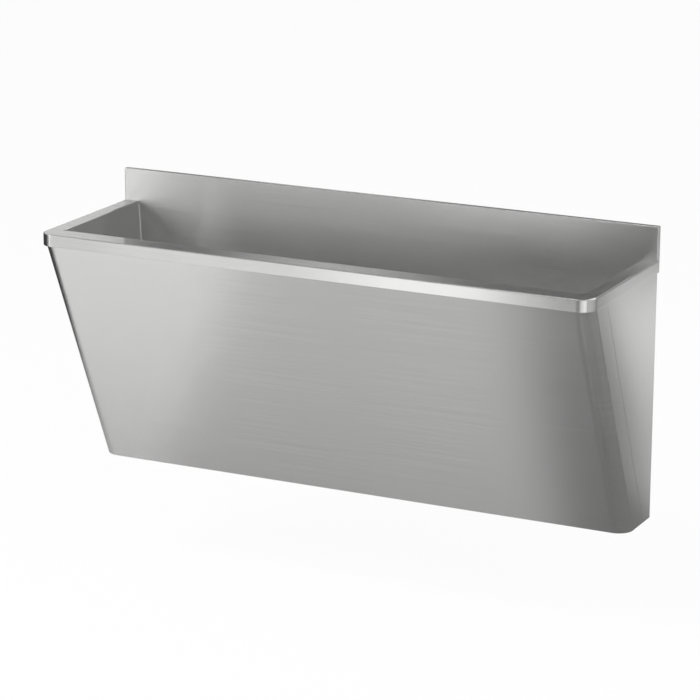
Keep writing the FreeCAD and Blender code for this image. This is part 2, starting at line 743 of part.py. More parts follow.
def make_trap(trap_top):
    """Bottle trap: body with its outlet boss, the cup below it, seals, nut, pipe and wall rosette."""
    x = waste_place
    y = waste_y
    neck_bore = pipe_radius + joint_clearance
    shoulder = trap_top - trap_neck_height
    wall_top = shoulder - trap_shoulder
    body_foot = shoulder - trap_height
    inside = trap_radius - trap_wall
    body = turned([
        (neck_bore, trap_top),
        (trap_neck_radius, trap_top),
        (trap_neck_radius, shoulder),
        (trap_radius - trap_shoulder, shoulder),
        (trap_radius, wall_top),
        (trap_radius, body_foot),
        (thread_collar_radius, body_foot),
        (thread_collar_radius, body_foot - thread_collar_height),
        (thread_collar_bore, body_foot - thread_collar_height),
        (thread_collar_bore, body_foot),
        (inside, body_foot + trap_wall),
        (inside, wall_top),
        (inside - trap_shoulder, shoulder - trap_wall),
        (neck_bore, shoulder - trap_wall),
    ], x, y)
    outlet_z = shoulder - outlet_drop
    boss_end = y + trap_radius + outlet_boss_reach
    bore = pipe_radius + joint_clearance
    boss_start = y + inside / 2
    boss = towards_wall(rod(outlet_boss_radius, 0, boss_end - boss_start, 0, 0), x, boss_start, outlet_z)
    boss = boss.cut(rod(inside, body_foot - overrun, trap_top, x, y))
    socket_foot = boss_end - pipe_insert
    socket = towards_wall(rod(bore, 0, pipe_insert + overrun, 0, 0), x, socket_foot, outlet_z)
    way = towards_wall(rod(outlet_way_radius, 0, socket_foot - y, 0, 0), x, y, outlet_z)
    body = body.fuse(boss).cut(socket).cut(way).removeSplitter()

    washer_end = boss_end + outlet_washer_height
    nut_end = washer_end + nut_shoulder
    washer = towards_wall(pipe(outlet_washer_radius, bore, 0, outlet_washer_height), x, boss_end, outlet_z)
    nut = turned([
        (outlet_boss_radius + joint_clearance, -outlet_nut_grip),
        (outlet_nut_radius, -outlet_nut_grip),
        (outlet_nut_radius, nut_end - boss_end),
        (bore, nut_end - boss_end),
        (bore, outlet_washer_height),
        (outlet_boss_radius + joint_clearance, outlet_washer_height),
    ], 0, 0)
    nut = ribbed(nut, outlet_nut_radius, nut_rib_radius, nut_rib_count, -outlet_nut_grip, nut_end - boss_end)
    nut = towards_wall(nut, x, boss_end, outlet_z)
    drain = towards_wall(pipe(pipe_radius, pipe_radius - pipe_wall, 0, -socket_foot), x, socket_foot, outlet_z)
    rosette = turned([
        (bore, 0),
        (rosette_radius - rosette_edge, 0),
        (rosette_radius, rosette_edge),
        (rosette_radius, rosette_height),
        (bore, rosette_height),
    ], 0, 0)
    rosette = towards_wall(rosette, x, -rosette_height, outlet_z)

    seal_foot = body_foot - seal_height
    seal = pipe(cup_radius, thread_collar_radius + cup_clearance, seal_foot, body_foot - joint_clearance, x, y)
    cup_foot = seal_foot - cup_depth
    thread_end = body_foot - thread_collar_height - cup_clearance
    cup = turned([
        (0, cup_foot),
        (cup_radius - cup_edge, cup_foot),
        (cup_radius, cup_foot + cup_edge),
        (cup_radius, seal_foot),
        (thread_collar_radius + cup_clearance, seal_foot),
        (thread_collar_radius + cup_clearance, thread_end),
        (cup_bore, thread_end),
        (cup_bore, cup_foot + cup_edge),
        (cup_bore - cup_floor, cup_foot + cup_floor),
        (0, cup_foot + cup_floor),
    ], x, y)
    cup = ribbed(cup, cup_radius, cup_rib_radius, cup_rib_count, cup_foot + cup_edge, thread_end, x, y)
    return {
        "trap_body": body,
        "outlet_washer": washer,
        "outlet_nut": nut,
        "outlet_pipe": drain,
        "wall_rosette": rosette,
        "cup_seal": seal,
        "trap_cup": cup,
    }


def build():
    """Every sub-part by its name."""
    parts = {}
    rim = make_rim()
    parts["rim"] = rim
    parts["upstand"] = largest(make_upstand().cut(rim))
    parts.update(make_bowl())
    parts["apron"] = make_apron()
    parts["front_channel"] = make_front_channel()
    pairs = {
        "side_panel": make_side_panel(),
        "ledge_angle": make_ledge_angle(),
        "apron_bracket": make_bracket(),
    }
    for name, right in pairs.items():
        parts[name + "_right"] = right
        parts[name + "_left"] = mirrored(right)
    parts["support_rib_right"] = make_rib(rib_place)
    parts["support_rib_left"] = make_rib(-rib_place)
    parts["sound_pad_left"] = make_pad(-pad_outer, -pad_inner)
    parts["sound_pad_right"] = make_pad(pad_inner, pad_outer)
    parts["apron_screws"] = make_screws()
    parts["apron_nuts"] = make_nuts()
    parts["wall_rail"] = make_wall_rail()
    parts["hanging_cleat"] = make_cleat()
    parts["earth_stud"], parts["earth_washer"], parts["earth_nut"] = make_earth_parts()
    dish_floor = floor_height(waste_place) - dish_depth
    parts.update(make_waste(dish_floor))
    parts["strainer"] = make_strainer(dish_floor + gasket_height + flange_plate)
    inlet, trap_top = make_inlet(dish_floor - tail_length)
    parts.update(inlet)
    parts.update(make_trap(trap_top))
    return parts


def main():
    """Writes one file per sub-part."""
    os.makedirs("parts", exist_ok=True)
    for name, shape in build().items():
        shape.exportStep("parts/" + name + ".step")
        solids = shape.Solids
        volume = sum(solid.Volume for solid in solids)
        print(name, "solids", len(solids), "valid", shape.isValid(), "volume", round(volume))


main()
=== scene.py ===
"""Looks of a wall-hung surgical scrub sink in satin stainless steel.

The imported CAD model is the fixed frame. The sheets that show (rim, upstand, bowl, apron and side panels) are
made again here as thick numpy surfaces with their folds, hems and brushing direction. Every other piece keeps
its CAD shape and gets its own finish. Lengths are metres, +Z is up, +Y runs into the wall.
"""

import logging
import math
from dataclasses import dataclass, field
from enum import Enum
from typing import ClassVar

import bpy
import numpy as np
from mathutils import Matrix, Vector


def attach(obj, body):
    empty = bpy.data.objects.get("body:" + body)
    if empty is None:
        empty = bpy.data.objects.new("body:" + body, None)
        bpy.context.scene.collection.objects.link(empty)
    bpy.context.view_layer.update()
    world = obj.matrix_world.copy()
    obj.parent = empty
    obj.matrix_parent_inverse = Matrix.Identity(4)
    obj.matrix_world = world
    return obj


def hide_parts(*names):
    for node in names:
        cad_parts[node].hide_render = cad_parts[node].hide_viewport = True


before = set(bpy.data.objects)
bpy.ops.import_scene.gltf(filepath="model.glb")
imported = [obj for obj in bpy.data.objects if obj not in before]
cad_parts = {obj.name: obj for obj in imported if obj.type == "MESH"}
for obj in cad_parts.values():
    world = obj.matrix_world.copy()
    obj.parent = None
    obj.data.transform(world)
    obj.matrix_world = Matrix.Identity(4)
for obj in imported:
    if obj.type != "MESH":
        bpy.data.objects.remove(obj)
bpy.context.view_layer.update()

logging.basicConfig(level=logging.INFO, format="%(name)s: %(message)s")
log = logging.getLogger("scrub_sink")

Array = np.ndarray
Thing = bpy.types.Object
Material = bpy.types.Material
Tree = bpy.types.NodeTree
Socket = bpy.types.NodeSocket
Colour = tuple[float, float, float, float]
Place = tuple[float, float, float]
Skin = tuple[Array, Array]

MM = 0.001
GRAIN_UV = "grain"
CARD_UV = "card"
WHITE = "#FFFFFF"
NOISE_SPAN = (0.3, 0.7)                  # most values of a noise texture lie in here
SUM_SPAN = (0.7, 1.3)                    # and most sums of two noises in here
BEND_STEPS = 8
SMALL_BEND_STEPS = 6
DISH_STEPS = 4
LONG_STEPS = 60                          # along the sink
LONG_NEAR = 0.001                        # share of the sink's length between a bend and the line beside it
SIDE_NEAR = 0.004                        # the same for its depth
CARD_STEPS = 8
TENT_STEPS = (12, 48)                    # up and round


def linear(code: str) -> Colour:
    """Turns an sRGB hex colour into linear red, green, blue and alpha.

    Args:
        code: The colour as six hex digits, with or without a leading #.

    Returns:
        Linear channel values, each from 0 to 1, and an alpha of 1.
    """
    digits = code.lstrip("#")
    channels = np.array([int(digits[k:k + 2], 16) for k in (0, 2, 4)]) / 255.0
    curved = np.where(channels <= 0.04045, channels / 12.92, ((channels + 0.055) / 1.055) ** 2.4)
    return (*curved.tolist(), 1.0)


def dimmed(code: str, share: float) -> Colour:
    """A hex colour in linear channels, each lowered to a share of itself."""
    return (*(channel * share for channel in linear(code)[:3]), 1.0)


def add_node(tree: Tree, kind: str, settings: dict | None = None,
             inputs: dict | None = None) -> bpy.types.Node:
    """Adds one shader node with its settings and links.

    Args:
        tree: The node tree that gets the node.
        kind: The node's type name.
        settings: Attributes of the node, by name.
        inputs: Values or output sockets for its input sockets, by socket name or number.

    Returns:
        The new node.
    """
    node = tree.nodes.new(kind)
    for name, value in (settings or {}).items():
        setattr(node, name, value)
    for key, value in (inputs or {}).items():
        if isinstance(value, Socket):
            tree.links.new(value, node.inputs[key])
        else:
            node.inputs[key].default_value = value
    return node


def new_material(name: str) -> tuple[Material, Tree]:
    """Makes an empty node material.

    Args:
        name: The finish's name.

    Returns:
        The material and its emptied node tree.
    """
    material = bpy.data.materials.new(name)
    material.use_nodes = True
    material.node_tree.nodes.clear()
    return material, material.node_tree


def surface_output(tree: Tree, shader: Socket) -> None:
    """Links a shader to the tree's surface output."""
    add_node(tree, "ShaderNodeOutputMaterial", inputs={"Surface": shader})


def reckoned(tree: Tree, operation: str, first: Socket | float, second: Socket | float) -> Socket:
    """The result of one operation on two values."""
    return add_node(tree, "ShaderNodeMath", {"operation": operation}, {0: first, 1: second}).outputs["Value"]


def scaled(tree: Tree, vector: Socket, factors: Place) -> Socket:
    """A vector with each of its parts multiplied by its own factor."""
    node = add_node(tree, "ShaderNodeVectorMath", {"operation": "MULTIPLY"}, {0: vector, 1: factors})
    return node.outputs["Vector"]


def object_place(tree: Tree) -> Socket:
    """The place on the object itself, in metres."""
    return add_node(tree, "ShaderNodeTexCoord").outputs["Object"]


def noise(tree: Tree, place: Socket, size: float, detail: float, dimensions: str = "3D",
          roughness: float = 0.5) -> Socket:
    """Noise whose features have about one size.

    Args:
        tree: The material's node tree.
        place: Where it is read: a vector, or a plain value in 1D.
        size: The features' size.
        detail: Number of finer layers over them.
        dimensions: 1D, 2D or 3D.
        roughness: How strong the finer layers are.

    Returns:
        The noise, from 0 to 1.
    """
    read_at = "W" if dimensions == "1D" else "Vector"
    return add_node(tree, "ShaderNodeTexNoise", {"noise_dimensions": dimensions}, {
        read_at: place, "Scale": 1.0 / size, "Detail": detail, "Roughness": roughness}).outputs["Fac"]


def varied(tree: Tree, factor: Socket, middle: float, swing: float,
           span: tuple[float, float] = NOISE_SPAN) -> Socket:
    """A value that goes from a swing below its middle to a swing above it.

    Args:
        tree: The material's node tree.
        factor: What leads it.
        middle: Its middle.
        swing: How far it goes to each side.
        span: The factor's values at its two ends.

    Returns:
        The value.
    """
    return add_node(tree, "ShaderNodeMapRange", inputs={
        "Value": factor, "From Min": span[0], "From Max": span[1],
        "To Min": middle - swing, "To Max": middle + swing}).outputs["Result"]


def emission(tree: Tree, level: float) -> Socket:
    """A surface that gives white light of one level."""
    return add_node(tree, "ShaderNodeEmission", inputs={"Strength": level}).outputs["Emission"]


def mixed(tree: Tree, share: Socket, first: Socket, second: Socket) -> Socket:
    """A shader that goes from the first one to the second one by a share."""
    return add_node(tree, "ShaderNodeMixShader", inputs={0: share, 1: first, 2: second}).outputs["Shader"]


class Slot(Enum):
    """Material slots of the record."""

    SATIN = "brushed_stainless"
    MILL = "mill_stainless"
    POLISHED = "polished_stainless"
    ZINC = "zinc_plated_steel"
    BRASS = "brass"
    BITUMEN = "bitumen_pad"
    RUBBER = "black_rubber"
    PLASTIC = "white_polypropylene"


@dataclass(frozen=True)
class Tones:
    """How a finish looks between its dark and its light places."""

    share: Socket                        # 0 in the dark places and 1 in the light ones
    dark: Colour
    light: Colour


@dataclass(frozen=True)
class Relief:
    """Fine ups and downs that only the light feels."""

    strength: float
    depth: float

    def normal(self, tree: Tree, height: Socket) -> Socket:
        """The normal over a height from 0 to 1."""
        return add_node(tree, "ShaderNodeBump", inputs={
            "Height": height, "Strength": self.strength, "Distance": self.depth}).outputs["Normal"]


@dataclass(frozen=True)
class Finish:
    """A real finish. Each kind draws its own pattern."""

    def draw(self, tree: Tree) -> tuple[Tones, dict]:
        """The tones, and the shader's other inputs by name."""
        raise NotImplementedError

    def build(self, name: str) -> Material:
        """Makes the material.

        Args:
            name: The name of the real finish.

        Returns:
            The material.
        """
        material, tree = new_material(name)
        tones, inputs = self.draw(tree)
        colour = add_node(tree, "ShaderNodeMix", {"data_type": "RGBA"}, {
            "Factor": tones.share, 6: tones.dark, 7: tones.light})
        inputs["Base Color"] = colour.outputs[2]
        shader = add_node(tree, "ShaderNodeBsdfPrincipled", inputs=inputs)
        surface_output(tree, shader.outputs["BSDF"])
        return material


@dataclass(frozen=True)
class SatinSteel(Finish):
    """Stainless sheet brushed with a fine belt, as on the faces of a wash trough.

    The long scratches spread a reflection across themselves and leave it sharp along their length, so the
    sheet shows soft bands up and down and crisp ones sideways.
    """

    colour: str = "#DADAD9"
    dark_share: float = 0.90
    roughness: float = 0.25
    scratch_swing: float = 0.012
    patch_swing: float = 0.006
    anisotropy: float = 1.0
    quarter_turn: float = 0.25           # lays the sharp direction along the scratches
    scratch_width: float = 4.5 * MM      # a real one is about 0.1 mm, drawn coarser so that it shows
    scratch_length: float = 420.0 * MM
    patch_size: float = 260.0 * MM
    relief: Relief = Relief(0.03, 0.02 * MM)

    def draw(self, tree: Tree) -> tuple[Tones, dict]:
        """Scratches and broad patches on the piece's own grain coordinates.

        Args:
            tree: The material's node tree.

        Returns:
            The tones and the shader's other inputs.
        """
        grain = add_node(tree, "ShaderNodeUVMap", {"uv_map": GRAIN_UV}).outputs["UV"]
        stretched = scaled(tree, grain, (1.0 / self.scratch_length, 1.0 / self.scratch_width, 1.0))
        scratches = noise(tree, stretched, size=1.0, detail=4.0, dimensions="2D", roughness=0.6)
        patches = noise(tree, grain, self.patch_size, detail=2.0, dimensions="2D")
        along = add_node(tree, "ShaderNodeTangent", {"direction_type": "UV_MAP", "uv_map": GRAIN_UV})
        return Tones(scratches, dimmed(self.colour, self.dark_share), linear(self.colour)), {
            "Metallic": 1.0,
            "Roughness": reckoned(tree, "ADD", varied(tree, scratches, self.roughness, self.scratch_swing),
                                  varied(tree, patches, 0.0, self.patch_swing)),
            "Anisotropic": self.anisotropy,
            "Anisotropic Rotation": self.quarter_turn,
            "Normal": self.relief.normal(tree, scratches),
            "Tangent": along.outputs["Tangent"],
        }


@dataclass(frozen=True)
class MillSteel(Finish):
    """Stainless sheet and bar as the mill leaves it, on the stiffeners: dull, with faint roll lines."""

    colour: str = "#C4C4C3"
    dark_share: float = 0.88
    roughness: float = 0.42
    swing: float = 0.06
    line_spacing: float = 2.0 * MM
    line_length: float = 150.0 * MM
    cloud_size: float = 60.0 * MM
    relief: Relief = Relief(0.15, 0.03 * MM)

    def draw(self, tree: Tree) -> tuple[Tones, dict]:
        """Roll lines along the sink and faint clouds, on object coordinates.

        Args:
            tree: The material's node tree.

        Returns:
            The tones and the shader's other inputs.
        """
        place = object_place(tree)
        across = 1.0 / self.line_spacing
        stretched = scaled(tree, place, (1.0 / self.line_length, across, across))
        lines = noise(tree, stretched, size=1.0, detail=2.0)
        clouds = noise(tree, place, self.cloud_size, detail=3.0)
        both = reckoned(tree, "ADD", lines, clouds)
        return Tones(clouds, dimmed(self.colour, self.dark_share), linear(self.colour)), {
            "Metallic": 1.0,
            "Roughness": varied(tree, both, self.roughness, self.swing, SUM_SPAN),
            "Normal": self.relief.normal(tree, lines),
        }


@dataclass(frozen=True)
class TurnedMetal(Finish):
    """Bright turned metal, with fine rings from the lathe around an upright line."""

    colour: str
    roughness: float
    dark_share: float = 0.93
    swing: float = 0.05
    centre: Place = (0.5, -0.12, 0.0)
    height_share: float = 0.35           # height counts a little too, so that upright faces have rings
    ring_spacing: float = 1.2 * MM       # real turning marks are about 0.2 mm apart, drawn coarser
    relief: Relief = Relief(0.12, 0.03 * MM)

    def draw(self, tree: Tree) -> tuple[Tones, dict]:
        """Rings on object coordinates, centred on the waste.

        Args:
            tree: The material's node tree.

        Returns:
            The tones and the shader's other inputs.
        """
        centred = add_node(tree, "ShaderNodeMapping", {"vector_type": "TEXTURE"}, {
            "Vector": object_place(tree), "Location": self.centre})
        flat = scaled(tree, centred.outputs["Vector"], (1.0, 1.0, self.height_share))
        radius = add_node(tree, "ShaderNodeVectorMath", {"operation": "LENGTH"}, {0: flat})
        rings = noise(tree, radius.outputs["Value"], self.ring_spacing, detail=2.0, dimensions="1D")
        return Tones(rings, dimmed(self.colour, self.dark_share), linear(self.colour)), {
            "Metallic": 1.0,
            "Roughness": varied(tree, rings, self.roughness, self.swing),
            "Normal": self.relief.normal(tree, rings),
        }


@dataclass(frozen=True)
class ZincPlate(Finish):
    """Bright zinc plating on small steel fasteners: slightly blue, with the cloudy spangle of passivation."""

    colour: str = "#C3C9D0"
    warm: str = "#CFC9B4"
    warm_share: float = 0.55             # the most that a cloud shows of the warm colour
    warm_span: tuple[float, float] = (0.42, 0.75)
    roughness: float = 0.32
    swing: float = 0.07
    cloud_size: float = 5.0 * MM

    def draw(self, tree: Tree) -> tuple[Tones, dict]:
        """Clouds on object coordinates.

        Args:
            tree: The material's node tree.

        Returns:
            The tones and the shader's other inputs.
        """
        clouds = noise(tree, object_place(tree), self.cloud_size, detail=4.0)
        share = varied(tree, clouds, self.warm_share / 2, self.warm_share / 2, self.warm_span)
        return Tones(share, linear(self.colour), linear(self.warm)), {
            "Metallic": 1.0,
            "Roughness": varied(tree, clouds, self.roughness, self.swing),
        }


@dataclass(frozen=True)
class Moulding(Finish):
    """A moulded plastic, rubber or bitumen piece, with the fine grain that its mould leaves."""

    colour: str
    shade: str
    roughness: float
    grain_size: float
    grain_depth: float
    ior: float = 1.5
    swing: float = 0.05
    flow_size: float = 25.0 * MM
    relief_strength: float = 0.4

    def draw(self, tree: Tree) -> tuple[Tones, dict]:
        """Broad flow marks and fine grain on object coordinates.

        Args:
            tree: The material's node tree.

        Returns:
            The tones and the shader's other inputs.
        """
        place = object_place(tree)
        flow = noise(tree, place, self.flow_size, detail=3.0)
        grain = noise(tree, place, self.grain_size, detail=2.0)
        return Tones(flow, linear(self.shade), linear(self.colour)), {
            "Roughness": varied(tree, grain, self.roughness, self.swing),
            "IOR": self.ior,
            "Normal": Relief(self.relief_strength, self.grain_depth).normal(tree, grain),
        }


# Pressed bitumen is matt black and gritty, seal rubber dark and slightly satin, and injection-moulded
# polypropylene warm white and satin, with a fine spark-eroded grain.
FINISHES: dict[Slot, tuple[str, Finish]] = {
    Slot.SATIN: ("satin_brushed_stainless_steel", SatinSteel()),
    Slot.MILL: ("cold_rolled_stainless_steel", MillSteel()),
    Slot.POLISHED: ("polished_stainless_steel", TurnedMetal("#DADAD9", 0.14)),
    Slot.ZINC: ("bright_zinc_plate", ZincPlate()),
    Slot.BRASS: ("machined_brass", TurnedMetal("#D9BE78", 0.24)),
    Slot.BITUMEN: ("bitumen_damping_sheet", Moulding("#2B2B2D", "#1D1D1F", 0.86, 2.2 * MM, 0.25 * MM)),
    Slot.RUBBER: ("moulded_seal_rubber", Moulding("#232324", "#191919", 0.62, 1.0 * MM, 0.05 * MM)),
    Slot.PLASTIC: ("moulded_polypropylene",
                   Moulding("#EBE9E3", "#E2E0D9", 0.38, 0.9 * MM, 0.03 * MM, ior=1.49)),
}


def eased(count: int, near: float) -> Array:
    """Even shares of a straight run from 0 to 1, and one more near each end, which keeps a flat face flat."""
    return np.concatenate([[0.0], np.linspace(near, 1.0 - near, count + 1), [1.0]])


def both_ways(count: int, near: float) -> Array:
    """Eased shares from -1 to 1."""
    return 2.0 * eased(count, near) - 1.0


def arc(start: float, end: float, steps: int = BEND_STEPS) -> Array:
    """Angles of a bend in radians, from one angle in degrees to another, ends included."""
    return np.radians(np.linspace(start, end, steps + 1))


def joined(*runs: tuple, axis: int = 0) -> list[Array]:
    """Joins runs end to end.

    Args:
        runs: For each run, its values of every quantity. A single value holds for the whole run.
        axis: The axis that the runs follow one another on.

    Returns:
        The values of every quantity over all runs.
    """
    spread = [np.broadcast_arrays(*run) for run in runs]
    return [np.concatenate(values, axis) for values in zip(*spread)]


def grid_of(*parts: Array | float) -> Array:
    """Grid of points from their coordinates, where rows, columns and single values fill up the grid."""
    return np.stack(np.broadcast_arrays(*parts), axis=2)


def u_rings(half_span: Array, front: Array, back: Array, corner: Array, height: Array,
            side_steps: int = 12, corner_steps: int = 16) -> Array:
    """Level U-shaped lines, open to the wall, one for each place along a folded profile.

    Each line runs from the wall along the left side, round the left front corner on a quarter circle, along
    the front, round the right corner and back to the wall. All lines are divided alike, so that neighbouring
    lines join to a smooth sheet.

    Args:
        half_span: Half the width of each line.
        front: Y of its front run.
        back: Y of its two ends.
        corner: Radius of its corners.
        height: Its Z.
        side_steps: Steps along a side.
        corner_steps: Steps round a corner.

    Returns:
        Points, as lines by places by three.
    """
    half_span, front, back, corner, height = (
        values[:, None] for values in (half_span, front, back, corner, height))
    left, right = (arc(start, start + 90.0, corner_steps)[None, 1:-1] for start in (180.0, 270.0))
    along_side = eased(side_steps, SIDE_NEAR)[None, :]
    along_front = eased(LONG_STEPS, LONG_NEAR)[None, :]
    side_run = front + corner - back
    front_run = 2.0 * (half_span - corner)
    return grid_of(*joined(
        (-half_span, back + side_run * along_side, height),
        (-half_span + corner + corner * np.cos(left), front + corner + corner * np.sin(left), height),
        (-half_span + corner + front_run * along_front, front, height),
        (half_span - corner + corner * np.cos(right), front + corner + corner * np.sin(right), height),
        (half_span, back + side_run * along_side[:, ::-1], height),
        axis=1))


def unit(vectors: Array) -> Array:
    """Vectors of length one, or zero where a vector has no length."""
    length = np.linalg.norm(vectors, axis=-1, keepdims=True)
    return vectors / np.maximum(length, 1e-12)


def steps_along(points: Array, axis: int, wrap: bool) -> Array:
    """Mean direction of a grid along one axis at each of its points.

    It is the sum of the unit vectors from the point before and to the point after, so a long flat step next
    to a short bend step counts no more than the bend does.

    Args:
        points: Grid of points, rows by columns by three.
        axis: 0 for down the rows, 1 for along the columns.
        wrap: Whether the axis closes on itself.

    Returns:
        One direction for each point.
    """
    ahead = unit(np.roll(points, -1, axis) - points)
    behind = unit(points - np.roll(points, 1, axis))
    if not wrap:
        np.moveaxis(ahead, axis, 0)[-1] = 0.0
        np.moveaxis(behind, axis, 0)[0] = 0.0
    return ahead + behind


def face_normals(points: Array, wrap: bool) -> Array:
    """Unit normals of a grid: the direction along its columns crossed with the direction along its rows."""
    return unit(np.cross(steps_along(points, 1, wrap), steps_along(points, 0, False)))


def run_lengths(points: Array) -> Array:
    """Distance along a line of points from its start to each of them."""
    return np.concatenate([[0.0], np.cumsum(np.linalg.norm(np.diff(points, axis=0), axis=1))])


def grain_coordinates(points: Array, row: int, column: int | None = None, wrap: bool = False) -> Array:
    """Flat coordinates of a grid in metres: u along one row's line, v along one column's line.

    Args:
        points: Grid of points, rows by columns by three.
        row: The row whose length gives u.
        column: The column whose length gives v, or None for the middle one.
        wrap: Whether the columns close on themselves.

    Returns:
        Coordinates, rows by columns by two, with a closing column where the grid wraps.
    """
    line = points[row]
    if wrap:
        line = np.concatenate([line, line[:1]])
    if column is None:
        column = points.shape[1] // 2
    return grid_of(run_lengths(line)[None, :], run_lengths(points[:, column])[:, None])


def corners_of(values: Array) -> Array:
    """Values of a grid at the four corners of each of its faces, in turning order."""
    return np.stack([values[:-1, :-1], values[:-1, 1:], values[1:, 1:], values[1:, :-1]], axis=2)


def linked(name: str, data: bpy.types.ID) -> Thing:
    """Makes an object and puts it in the scene.

    Args:
        name: Its name.
        data: Its mesh, light or camera.

    Returns:
        The object.
    """
    made = bpy.data.objects.new(name, data)
    bpy.context.scene.collection.objects.link(made)
    return made


def meshed(name: str, points: Array, faces: Array, material: Material,
           layer_name: str = "", coordinates: Array | None = None) -> Thing:
    """Makes a mesh object.

    Args:
        name: Its name.
        points: Its points, in any grid whose last axis is three long.
        faces: Its faces' point numbers, in any grid whose last axis is four long.
        material: Its finish.
        layer_name: The name of its UV layer, if it has one.
        coordinates: That layer's coordinates at each face's corners.

    Returns:
        The object.
    """
    mesh = bpy.data.meshes.new(name)
    mesh.from_pydata(points.reshape(-1, 3).tolist(), [], faces.reshape(-1, 4).tolist())
    if coordinates is not None:
        layer = mesh.uv_layers.new(name=layer_name)
        layer.data.foreach_set("uv", coordinates.astype(np.float32).ravel())
    mesh.materials.append(material)
    return linked(name, mesh)


@dataclass
class SheetMesh:
    """A sheet of even thickness over a grid of points, closed along all its edges.

    The outer skin is the grid. The inner skin is the grid moved back along its normals by the thickness.
    Strips of faces join the two along the sheet's edges.
    """

    thickness: float
    sharp: float = 32.0                  # degrees above which an edge is drawn sharp
    vertices: list[Array] = field(default_factory=list)
    faces: list[Array] = field(default_factory=list)
    coordinates: list[Array] = field(default_factory=list)
    count: int = 0

    def add(self, points: Array, grain: Array, wrap: bool) -> None:
        """Adds one sheet.

        Args:
            points: Outer skin, rows by columns by three, its normals pointing out.
            grain: Grain coordinates at each face corner, faces by faces by four by two.
            wrap: Whether the columns close on themselves.
        """
        rows, columns = points.shape[:2]
        index = self.count + np.arange(rows * columns).reshape(rows, columns)
        if wrap:
            index = np.concatenate([index, index[:, :1]], axis=1)
        below = index + rows * columns
        flat_grain = grain.reshape(-1, 4, 2)
        self.vertices += [points, points - self.thickness * face_normals(points, wrap)]
        self.faces += [corners_of(index).reshape(-1, 4), corners_of(below).reshape(-1, 4)[:, ::-1]]
        self.coordinates += [flat_grain, flat_grain[:, ::-1]]
        # Each free edge: its points, those below, its faces' corners, and which two of these lie on it.
        edges = [
            (index[0], below[0], grain[0], 0, 1),
            (index[-1, ::-1], below[-1, ::-1], grain[-1, ::-1], 2, 3),
            (index[::-1, 0], below[::-1, 0], grain[::-1, 0], 3, 0),
            (index[:, -1], below[:, -1], grain[:, -1], 1, 2),
        ]
        for line, under, corners, start, end in edges[:2] if wrap else edges:
            self.faces.append(np.stack([line[1:], line[:-1], under[:-1], under[1:]], axis=1))
            self.coordinates.append(corners[:, [end, start, start, end]])
        self.count += 2 * rows * columns

    def piece(self, name: str, material: Material) -> Thing:
        """Makes the object from the sheets added so far.

        Args:
            name: The piece's name.
            material: Its finish.

        Returns:
            The object, at the origin, with its place in its mesh.
        """
        vertices = np.concatenate([part.reshape(-1, 3) for part in self.vertices])
        faces = np.concatenate(self.faces)
        made = meshed(name, vertices, faces, material, GRAIN_UV, np.concatenate(self.coordinates))
        made.data.shade_smooth()
        made.data.set_sharp_from_angle(angle=math.radians(self.sharp))
        log.info("%s: %d vertices, %d faces", name, len(vertices), len(faces))
        return made


@dataclass
class SinkSizes:
    """Sizes that several sheets share. Tops and feet are heights, fronts and seams lie out from the wall."""

    half_width: float = 700.0 * MM
    depth: float = 420.0 * MM
    ledge: float = 100.0 * MM
    top: float = 180.0 * MM
    foot: float = -520.0 * MM
    sheet: float = 1.5 * MM
    upstand_depth: float = 12.0 * MM
    front_ledge: float = 55.0 * MM
    side_ledge: float = 38.0 * MM
    band_foot: float = 70.0 * MM
    lip_foot: float = 92.0 * MM
    skirt_front: float = 414.0 * MM
    skirt_half: float = 696.0 * MM
    skirt_foot_front: float = 145.0 * MM
    skirt_top: float = 88.0 * MM
    seam_top: float = 314.0 * MM
    seam_foot: float = 45.0 * MM
    seam_gap: float = 2.0 * MM

    @property
    def slope(self) -> float:
        """How far the skirt's front comes back for each unit down."""
        return (self.skirt_front - self.skirt_foot_front) / (self.band_foot - self.foot)

    @property
    def bowl_half(self) -> float:
        """Half the length of the bowl's opening."""
        return self.half_width - self.side_ledge

    @property
    def bowl_front(self) -> float:
        """Y of the opening's front edge."""
        return -self.depth + self.front_ledge

    def set_back(self, height: Array) -> Array:
        """How far the skirt has come back at a height: the slope for each unit below the band."""
        return self.slope * np.maximum(self.band_foot - height, 0.0)


@dataclass
class FoldedSheet:
    """A sub-assembly of brushed sheet that stands for CAD nodes. Each kind gives its own skins."""

    name: ClassVar[str]
    nodes: ClassVar[tuple[str, ...]]
    body: ClassVar[str] = "sink"
    wrap: ClassVar[bool] = False
    sizes: SinkSizes

    def skins(self) -> list[Skin]:
        """Grids of outer points, as lines by places by three, with the grain at their faces' corners."""
        raise NotImplementedError

    def build(self, material: Material) -> None:
        """Makes the piece and lets it stand for its CAD nodes.

        Args:
            material: The satin finish.
        """
        sheet = SheetMesh(self.sizes.sheet)
        for points, grain in self.skins():
            sheet.add(points, grain, self.wrap)
        piece = sheet.piece(self.name, material)
        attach(piece, self.body)
        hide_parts(*self.nodes)


